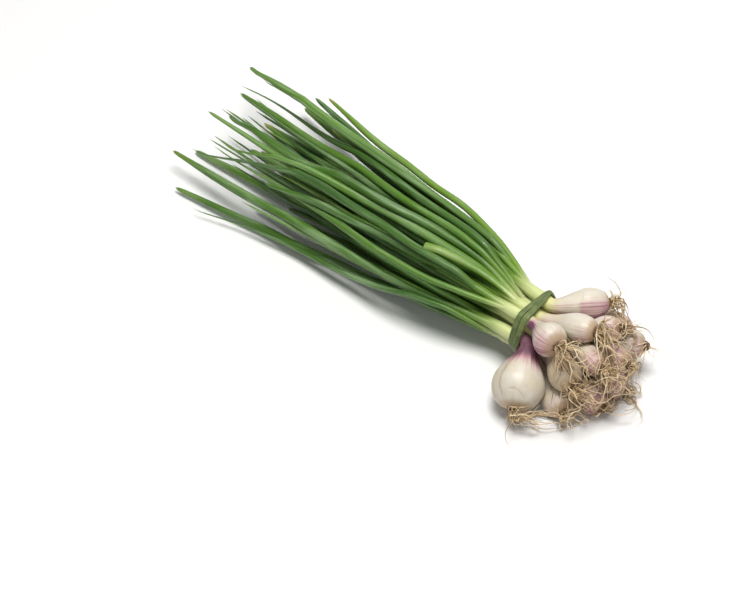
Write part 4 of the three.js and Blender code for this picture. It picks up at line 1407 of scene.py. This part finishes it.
def walk_roots(look, high):
    """Lines of the free roots of all plants: each wanders off its plate, round the bulbs and downwards."""
    rng = np.random.default_rng(FREE_ROOT_SEED)
    data = layout()
    room = data["room"]
    low, edge = room_in_box(ROOT_MARGIN)[0], high - np.array([9.0, 4.0, 0.0])
    each = [look.strands * 2 if i == LARGEST else look.strands for i in range(len(PLANTS))]
    plants = np.repeat(np.arange(len(PLANTS)), each)
    count = len(plants)
    base, ahead = (np.array([made[key] for made in data["roots"]])[plants] for key in ("base", "ahead"))
    lean = np.array([LEANS.get(i, (0.0, 0.0, 0.0)) for i in range(len(PLANTS))])[plants]
    side = rng.normal(0, 1, (count, 3))
    side -= ahead * (side * ahead).sum(1, keepdims=True)
    side /= lengths(side)
    spot = base + ahead * 1.4 + side * rng.uniform(0.2, 2.6, (count, 1))
    way = ahead + side * rng.uniform(0.1, 1.5, (count, 1))
    way /= lengths(way)
    length = np.where(rng.uniform(0, 1, count) < 0.3, rng.uniform(6, 18, count), rng.uniform(20, 50, count))
    length = np.where(plants == LARGEST, length * 1.7, length)
    walls = heap_walls()
    give = rng.uniform(-11, 4, count)
    curl = rng.uniform(0.6, 1.5, (count, 1))
    bend = np.zeros((count, 3))
    turned = rng.normal(0, 0.25, (count, 3))
    trail = [spot.copy()]
    for n in range(int(FREE_REACH / FREE_STEP)):
        bend = 0.80 * bend + rng.normal(0, 0.16, (count, 3))
        home = np.array(ROOT_HEAP) - spot
        home /= np.maximum(lengths(home), 12)
        pull = 0.13 * lean + 0.09 * home + turned * 0.12 + np.array([0, 0, -0.05])
        pull = pull - 0.08 * np.maximum(spot - edge + 6, 0)
        for wall, reach in walls:
            pull = pull - 0.05 * np.maximum(spot @ wall - reach - give + 6, 0)[:, None] * wall
        way = way + bend * curl + pull * min(n / 4, 1)
        way /= lengths(way)
        spot = spot + way * FREE_STEP
        if n > 1:
            near, out = room.push_out(spot, SKIN_GAP, SKIN_GAP + 0.05)
            way[near] -= out * np.minimum((way[near] * out).sum(1, keepdims=True), 0)
        for wall, reach in walls:
            spot = spot - np.clip(spot @ wall - reach - give, 0, 0.8)[:, None] * wall
        spot = np.clip(spot, low, edge)
        trail.append(spot.copy())
    trail = np.array(trail)
    sets = [[] for _ in PLANTS]
    for i, plant in enumerate(plants):
        line = trail[:max(4, int(length[i] / FREE_STEP)), i]
        gone = line - base[i]
        goes_back = (gone @ ahead[i]).min() < (-4 if plant == LARGEST else -8)
        rises = plant == LARGEST and (gone @ VIEW_UP).max() > 7
        if not (goes_back or (gone @ VIEW_RIGHT).min() < -8 or rises):
            sets[plant].append((line, rng.uniform(0.7, 1.3), rng.uniform(0, 1)))
    plate = base[plants == LARGEST][0]
    sets[LARGEST] = [s for s in sets[LARGEST] if ((s[0] - plate) @ VIEW_UP).max() < 5]
    return sets


def follow_guide(guide, rng, whole, foremost):
    """One thin root that follows a leading root, wandering off it and cut off at the heap's edge."""
    share = rng.uniform(0.6, 1.0)
    if whole:
        share = 1.0 if foremost else 0.8
    fine, length = fine_line(guide, GUIDE_POINTS)
    count = max(8, int(share * length / FREE_STEP))
    at = np.linspace(0, share * (GUIDE_POINTS - 1), count)
    line = read_line(at, np.arange(GUIDE_POINTS), fine)
    bend = np.zeros(3)
    drift = rng.uniform(-1.2, 1.2, 3)
    offset = []
    for n in range(count):
        bend = 0.8 * bend + rng.normal(0, 0.55, 3)
        drift = drift * 0.985 + bend * 0.55 * min(n / 4, 1)
        offset.append(drift)
    line = line + np.array(offset) * (0.4 if whole else 1)
    stray = whole
    if rng.uniform(0, 1) < 0.05:
        stray, line = True, line[:int(len(line) * 0.78)]
    for wall, reach in heap_walls():
        past = np.flatnonzero(line @ wall > reach + rng.uniform(-9, 1))
        if len(past) and not stray:
            line = line[:past[0]]
    return line


def fine_hair(base, ahead, rng):
    """One short hair of a root plate."""
    way = unit(ahead + rng.normal(0, 0.8, 3))
    count = int(rng.uniform(5, 13))
    line = [base + ahead * 1.4 + rng.normal(0, 1.1, 3)]
    for _ in range(count):
        way = unit(way + rng.normal(0, 0.28, 3) + np.array([0, 0, -0.05]))
        line.append(line[-1] + way * HAIR_STEP)
    line = np.array(line)
    for wall, reach in heap_walls()[2:]:
        past = np.flatnonzero(line @ wall > reach - 3)
        line = line[:past[0]] if len(past) else line
    return line


def stands_out(line, number):
    """Whether a root of another plant crosses the largest bulb, or a short one sticks out of the heap."""
    right, up = ((line - np.array([0.0, 0.0, TIE_HEIGHT])) @ np.stack([VIEW_RIGHT, VIEW_UP], -1)).T
    crosses = number != LARGEST and ((right < 5) & (up > -52)).sum() > 2
    return crosses or (len(line) < 16 and up[-1] < -57)


def root_strands(number, look):
    """Lines of the roots that follow the leading roots of one plant, and of its fine hairs."""
    rng = np.random.default_rng(FINE_ROOT_SEED + number)
    made = layout()["roots"][number]
    base, ahead = made["base"], made["ahead"]
    low, high = room_in_box(ROOT_MARGIN)
    largest = BulbRoom(layout()["ropes"][LARGEST:LARGEST + 1])
    own = number == LARGEST
    strands = []
    for guide in made["roots"]:
        foremost, outermost = guide[:, 0].max() > high[0] - 3, guide[:, 1].min() < low[1] + 3
        for follower in range(look.followers):
            line = follow_guide(guide, rng, (foremost or outermost) and follower == 0, foremost)
            if len(line) < 4:
                continue
            gone = line - base
            touches = not own and (largest.clear(line, plates=False) < 3).sum() > 2
            rises = own and (gone @ VIEW_UP).max() > 7
            goes_back = (gone @ ahead).min() <= (-4 if own else -12)
            if not (touches or rises or goes_back):
                strands.append((line, rng.uniform(0.8, 1.3), rng.uniform(0, 1)))
    strands = [s for s in strands if not stands_out(s[0], number)]
    for _ in range(look.hairs):
        line = fine_hair(base, ahead, rng)
        if len(line) > 3:
            strands.append((line, rng.uniform(0.4, 0.7), rng.uniform(0, 1)))
    return strands


def clear_strands(strands, room, low, high):
    """Moves the points of fine roots out of the bulbs, off the table and into the model's box."""
    points = np.concatenate([line for line, *_ in strands])
    cuts = np.cumsum([len(line) for line, *_ in strands])[:-1]
    for _ in range(3):
        room.push_out(points, SKIN_GAP - 0.05, SKIN_GAP)
        points = np.clip(points, low, high)
        for line in np.split(points, cuts):
            line[1:-1] = 0.7 * line[1:-1] + 0.15 * (line[:-2] + line[2:])
    return [(line, *rest) for line, (_, *rest) in zip(np.split(points, cuts), strands)]


def root_curves(name, strands, thickness):
    """Round tubes along the roots' lines, as one mesh."""
    curve = bpy.data.curves.new(name, "CURVE")
    curve.dimensions = "3D"
    curve.bevel_depth = thickness
    curve.bevel_resolution = 0
    curve.use_fill_caps = True
    for line, width, _ in strands:
        spline = curve.splines.new("POLY")
        spline.points.add(len(line) - 1)
        spots = np.concatenate([to_frame(line), np.ones((len(line), 1))], 1)
        spline.points.foreach_set("co", spots.ravel())
        taper = width * (1 - 0.8 * np.linspace(0, 1, len(line)) ** 1.6)
        spline.points.foreach_set("radius", taper)
        spline.use_smooth = True
    piece = bpy.data.objects.new(name, curve)
    bpy.context.scene.collection.objects.link(piece)
    deselect()
    piece.select_set(True)
    bpy.context.view_layer.objects.active = piece
    bpy.ops.object.convert(target="MESH")
    tubes = bpy.context.object
    # the caps come first, last line first, and then every point of a line is a ring of four, in order
    if len(tubes.data.vertices) != sum(4 * len(line) + 8 for line, *_ in strands):
        raise RuntimeError("the roots' rings don't match their lines")
    marks = [(seed, end, width) for _, width, seed in reversed(strands) for end in (1, 1, 1, 1, 0, 0, 0, 0)]
    for line, width, seed in strands:
        marks += [(seed, share, width) for share in np.linspace(0, 1, len(line)) for _ in range(4)]
    tubes.data.attributes.new("marks", "FLOAT_VECTOR", "POINT").data.foreach_set(
        "vector", np.array(marks, np.float32).ravel()
    )
    bpy.ops.object.mode_set(mode="EDIT")
    bpy.ops.mesh.select_all(action="SELECT")
    bpy.ops.mesh.remove_doubles(threshold=1e-6)
    bpy.ops.mesh.normals_make_consistent(inside=False)
    bpy.ops.object.mode_set(mode="OBJECT")
    return tubes


def plate_skin(number, made):
    """Corky root plate, lumpy round its edge."""
    rows, sides = 16, 40
    base, ahead = made["base"], made["ahead"]
    line = np.array([base + ahead * d for d in np.linspace(-0.6, PLATE_DEPTH + 0.6, rows + 1)])
    across, up = carried_frames(line)

    def place(t, around):
        k = np.round(t * rows).astype(int)
        theta = round_angle(around)
        radius = PLATE_RADIUS * (1.02 - 0.25 * t - 0.55 * t**4)
        radius = radius * (1 + 0.10 * np.sin(theta * 5 + number) * np.sin(t * 9) + 0.06 * np.sin(theta * 11))
        radius = np.where((k == 0) | (k == rows), 0, radius)
        x, y = np.cos(theta) * radius, np.sin(theta) * radius
        spots = line[k] + across[k] * x[:, None] + up[k] * y[:, None]
        spots += ahead * (0.35 * np.sin(theta * 7 + number * 2) * t)[:, None]
        spots[:, 2] = np.maximum(spots[:, 2], 0.05)
        flow = np.stack([x, y, t], -1)
        return spots, flow, flow * 0

    return wrap("plate", rows, sides, place)


def tie_point(angle, clearance):
    """A point of a line pulled tight round the necks, at an angle from +Y towards +Z."""
    sections = layout()["sections"]
    way = np.array([math.cos(angle), math.sin(angle)])
    pick = int((sections[:, :2] @ way + sections[:, 2]).argmax())
    return sections[pick, :2] + way * (sections[pick, 2] + clearance)


def tie_loop(clearance, count):
    """Evenly spaced points of a line pulled round the necks, softened at its corners."""
    fine = np.linspace(0, 2 * math.pi, 1441)
    ring = np.array([tie_point(angle, clearance) for angle in fine])
    run = run_along(ring)
    even = read_line(np.linspace(0, run[-1], count * 4, endpoint=False), run, ring)
    width = int(count * 4 * CORNER / run[-1]) | 1
    kernel = np.hanning(width + 2)[1:-1]
    kernel /= kernel.sum()
    wrapped = np.concatenate([even[-width:], even, even[:width]])
    soft_ring = np.stack([np.convolve(wrapped[:, a], kernel, "same")[width:-width] for a in range(2)], -1)
    return soft_ring[::4]


def strip_section(theta, width, thickness):
    """Section of a flattened leaf: thin, round at its edges, with a crease down the middle."""
    c, s = np.cos(theta), np.sin(theta)
    x = np.sign(c) * np.abs(c) ** 0.55 * width / 2
    crease = 0.24 * np.exp(-(((x - 0.3) / 0.35) ** 2)) * (s > 0)
    y = np.sign(s) * np.abs(s) ** 0.75 * thickness / 2 - crease + 0.12 * np.cos(x * 1.7)
    return x, y


def strip_turn(name, lead, lift, seed):
    """One turn of the strip round the necks."""
    draw = dice(seed)
    rows, sides = 220, 30
    sway, twist, bulk = ripple(draw, 3, 2, 5), ripple(draw, 3, 2, 6), ripple(draw, 3, 3, 8)
    ring = tie_loop(STRIP_GAP + lift + STRIP_THICKNESS / 2, rows)
    ahead = np.roll(ring, -1, 0) - np.roll(ring, 1, 0)
    ahead /= lengths(ahead)
    outward = np.stack([ahead[:, 1], -ahead[:, 0]], -1)
    angle = np.arctan2(ring[:, 1] - TIE_HEIGHT, ring[:, 0])

    def closed(curve, turn):
        blend_in = smooth(turn, 5.2, 2 * math.pi)
        return curve(turn) * (1 - blend_in) + curve(turn - 2 * math.pi) * blend_in

    def place(along, around):
        k = np.round(along * rows).astype(int) % rows
        turn = k / rows * 2 * math.pi
        theta = round_angle(around)
        width = (STRIP_WIDTH - 1.2) * (0.95 + 0.10 * closed(bulk, turn))
        x, y = strip_section(theta, width, STRIP_THICKNESS * 1.05)
        tilt = 0.26 * closed(twist, turn) + (0.12 if lead > 0 else -0.12)
        x, y = tilted(x, y, tilt)
        middle = lead * np.cos(angle[k] - KNOT_ANGLE) + 0.35 * closed(sway, turn)
        spots = np.stack([
            middle + x, ring[k, 0] + outward[k, 0] * y, ring[k, 1] + outward[k, 1] * y
        ], -1)
        flow = np.stack([x * 1.4, y * 1.4 + seed, turn * 21], -1)
        # marks: how near a point lies to an edge of the strip's section, where the material paints a
        # highlight
        marks = np.stack([np.abs(np.cos(theta)), turn * 0, turn * 0], -1)
        return spots, flow, marks

    return wrap(name, rows, sides, place)


def strip_along(name, points, width, thickness, seed, ragged=0.0):
    """A length of the strip along points, with a torn end."""
    draw = dice(seed)
    rows, sides = 60, 20
    line, length = fine_line(points, rows + 1)
    across, up = carried_frames(line)
    twist = ripple(draw, 2, 0.5, 2.5)
    tear = ripple(draw, 5, 2, 7)

    def place(along, around):
        k = np.round(along * rows).astype(int)
        theta = round_angle(around)
        narrow = width * (1 - 0.35 * along**3)
        x, y = strip_section(theta, narrow, thickness)
        x = np.where((k == 0) | (k == rows), 0, x)
        y = np.where((k == 0) | (k == rows), 0, y)
        tilt = 0.35 * twist(along * 3)
        x, y = tilted(x, y, tilt)
        spots = line[k] + across[k] * x[:, None] + up[k] * y[:, None]
        spots[:, 0] += ragged * tear(theta) * smooth(along, 0.9, 1.0)
        spots[:, 2] = np.maximum(spots[:, 2], 0.05)
        flow = np.stack([x * 1.4, y * 1.4 + seed, along * length], -1)
        return spots, flow, flow * 0

    return wrap(name, rows, sides, place)


def strip_loop(name, centre, radial, tilt, size, width, seed):
    """A small closed loop of the strip in the knot."""
    rows, sides = 72, 20
    ahead = np.array([math.cos(tilt), *(np.array([-radial[1], radial[0]]) * math.sin(tilt))])
    out = np.array([0.0, *radial])
    axis = np.cross(ahead, out)

    def place(along, around):
        angle = round_angle(along)
        theta = round_angle(around)
        x, y = strip_section(theta, width, 1.0)
        way = ahead[None] * np.cos(angle)[:, None] * size[0] + out[None] * np.sin(angle)[:, None] * size[1]
        normal = ahead[None] * np.cos(angle)[:, None] + out[None] * np.sin(angle)[:, None]
        spots = np.array(centre) + way + axis[None] * x[:, None] + normal * y[:, None]
        flow = np.stack([x * 1.4, y * 1.4 + seed, angle * 4], -1)
        return spots, flow, flow * 0

    return wrap(name, rows, sides, place)


class ONIONS_OT_bulbs(bpy.types.Operator):
    """Add the bulbs and necks"""

    bl_idname = "onions.bulbs"
    bl_label = "Bulbs and necks"

    def execute(self, context):
        look = context.scene.onion_bulbs
        material = bulb_material(look)
        for number, rope in enumerate(layout()["ropes"]):
            piece = paint(bulb_skin(number, rope, look), material)
            seat(piece, "bulb_%02d" % (number + 1))
        return {"FINISHED"}


class ONIONS_OT_leaves(bpy.types.Operator):
    """Add the stems and leaves"""

    bl_idname = "onions.leaves"
    bl_label = "Leaves"

    def execute(self, context):
        look = context.scene.onion_leaves
        material = leaf_material(look)
        for number in range(len(PLANTS)):
            draw = dice(LEAF_SKIN_SEED + number * 53)
            own = [strand for strand in layout()["strands"] if strand["plant"] == number]
            piece = join("leaf_fan_%02d" % (number + 1), [leaf_skin(strand, look, draw) for strand in own])
            seat(paint(piece, material), "leaves_%02d" % (number + 1))
        return {"FINISHED"}


class ONIONS_OT_roots(bpy.types.Operator):
    """Add the root plates and the matted roots"""

    bl_idname = "onions.roots"
    bl_label = "Roots"

    def execute(self, context):
        look = context.scene.onion_roots
        material = root_material(look)
        cork = plate_material(look)
        data = layout()
        low, high = room_in_box(ROOT_MARGIN)
        walked = walk_roots(look, high)
        for number, made in enumerate(data["roots"]):
            strands = clear_strands(root_strands(number, look), data["room"], low, high) + walked[number]
            tubes = paint(root_curves("roots", strands, look.thickness), material)
            plate = paint(plate_skin(number, made), cork)
            piece = join("root_tangle_%02d" % (number + 1), [tubes, plate])
            seat(piece, "roots_%02d" % (number + 1))
        return {"FINISHED"}


class ONIONS_OT_tie(bpy.types.Operator):
    """Add the leaf strip wound round the necks, with its knot and tails"""

    bl_idname = "onions.tie"
    bl_label = "Leaf tie"

    def execute(self, context):
        look = context.scene.onion_tie
        side, up = tie_point(KNOT_ANGLE, STRIP_GAP + 0.4 + KNOT_RADIUS * 0.8)
        radial = (math.cos(KNOT_ANGLE), math.sin(KNOT_ANGLE))
        pieces = [strip_turn("turn", TURN_LEAD, 0.0, 11), strip_turn("turn", -TURN_LEAD, 0.35, 23)]
        pieces.append(strip_loop("loop", (0.6, side, up), radial, 0.5, (3.9, 2.6), 3.4, 3))
        pieces.append(strip_loop("loop", (-0.8, side, up), radial, -0.45, (3.6, 2.3), 3.0, 4))
        for ahead, drop, width, seed in ((-26, 9, 4.2, 5), (-13, 3, 3.6, 6)):
            points = [
                [0, side, up],
                [ahead * 0.35, side + radial[0] * 3.4, up + radial[1] * 2.2],
                [ahead * 0.75, side + radial[0] * 7.5, max(up - drop * 0.6, 2.5)],
                [ahead, side + radial[0] * 12, max(up - drop, 1.4)],
            ]
            pieces.append(strip_along("tail", points, width, 1.1, seed, 0.6))
        seat(paint(join("leaf_tie", pieces), tie_material(look)), "tie")
        return {"FINISHED"}


class ONIONS_OT_stage(bpy.types.Operator):
    """Add the table, the lights and the camera"""

    bl_idname = "onions.stage"
    bl_label = "Stage"

    def execute(self, context):
        look = context.scene.onion_stage
        deselect()
        bpy.ops.mesh.primitive_plane_add(size=8, location=(0, 0, 0))
        floor = context.object
        floor.name = "table_top"
        floor.data.materials.append(floor_material(look))
        right, back = (Vector(way) for way in view_ways(look.azimuth, look.elevation))
        up = back.cross(right)
        tie = Vector(to_frame([0.0, 0.0, TIE_HEIGHT]))
        aside, below = PICTURE[0] / 2 - TIE_PIXEL[0], TIE_PIXEL[1] - PICTURE[1] / 2
        middle = tie + right * aside * look.scale + up * below * look.scale
        distance = look.lens / SENSOR * PICTURE[0] * look.scale
        bpy.ops.object.camera_add(location=middle + back * distance)
        camera = context.object
        camera.rotation_euler = back.to_track_quat("Z", "Y").to_euler()
        camera.data.lens = look.lens
        camera.data.sensor_fit = "HORIZONTAL"
        camera.data.sensor_width = SENSOR
        camera.data.clip_end = 20
        context.scene.camera = camera
        context.scene.view_settings.view_transform = "Standard"
        for name, offset, size, power, tint in LIGHTS:
            place = middle + Vector(offset)
            bpy.ops.object.light_add(type="AREA", location=place)
            lamp = context.object
            lamp.name = name
            lamp.data.shape = "DISK"
            lamp.data.size = size
            lamp.data.energy = power
            lamp.data.color = tint
            lamp.rotation_euler = (place - middle).to_track_quat("Z", "Y").to_euler()
        world = bpy.data.worlds.new("soft studio")
        world.use_nodes = True
        surface = world.node_tree.nodes["Background"].inputs
        surface["Color"].default_value = (1, 1, 1, 1)
        surface["Strength"].default_value = ROOM_LIGHT
        context.scene.world = world
        return {"FINISHED"}


class ONIONS_PT_panel(bpy.types.Panel):
    """Lists the steps that build the bunch"""

    bl_label = "Spring onion bunch"
    bl_idname = "ONIONS_PT_panel"
    bl_space_type = "VIEW_3D"
    bl_region_type = "UI"
    bl_category = "Onions"

    def draw(self, context):
        for operator in OPERATORS:
            self.layout.operator(operator.bl_idname)
        for settings in SETTINGS:
            group = getattr(context.scene, settings)
            for key in group.bl_rna.properties.keys():
                if key not in ("rna_type", "name"):
                    self.layout.prop(group, key)


SETTINGS = {
    "onion_bulbs": BulbSettings,
    "onion_leaves": LeafSettings,
    "onion_roots": RootSettings,
    "onion_tie": TieSettings,
    "onion_stage": StageSettings,
}
OPERATORS = (ONIONS_OT_bulbs, ONIONS_OT_leaves, ONIONS_OT_roots, ONIONS_OT_tie, ONIONS_OT_stage)


def register():
    for kind in (*SETTINGS.values(), *OPERATORS, ONIONS_PT_panel):
        bpy.utils.register_class(kind)
    for name, kind in SETTINGS.items():
        setattr(bpy.types.Scene, name, bpy.props.PointerProperty(type=kind))


def unregister():
    for name in SETTINGS:
        delattr(bpy.types.Scene, name)
    for kind in (ONIONS_PT_panel, *reversed(OPERATORS), *reversed(list(SETTINGS.values()))):
        bpy.utils.unregister_class(kind)


def main():
    register()
    bpy.ops.onions.bulbs()
    bpy.ops.onions.leaves()
    bpy.ops.onions.roots()
    bpy.ops.onions.tie()
    bpy.ops.onions.stage()


if __name__ == "__main__":
    main()
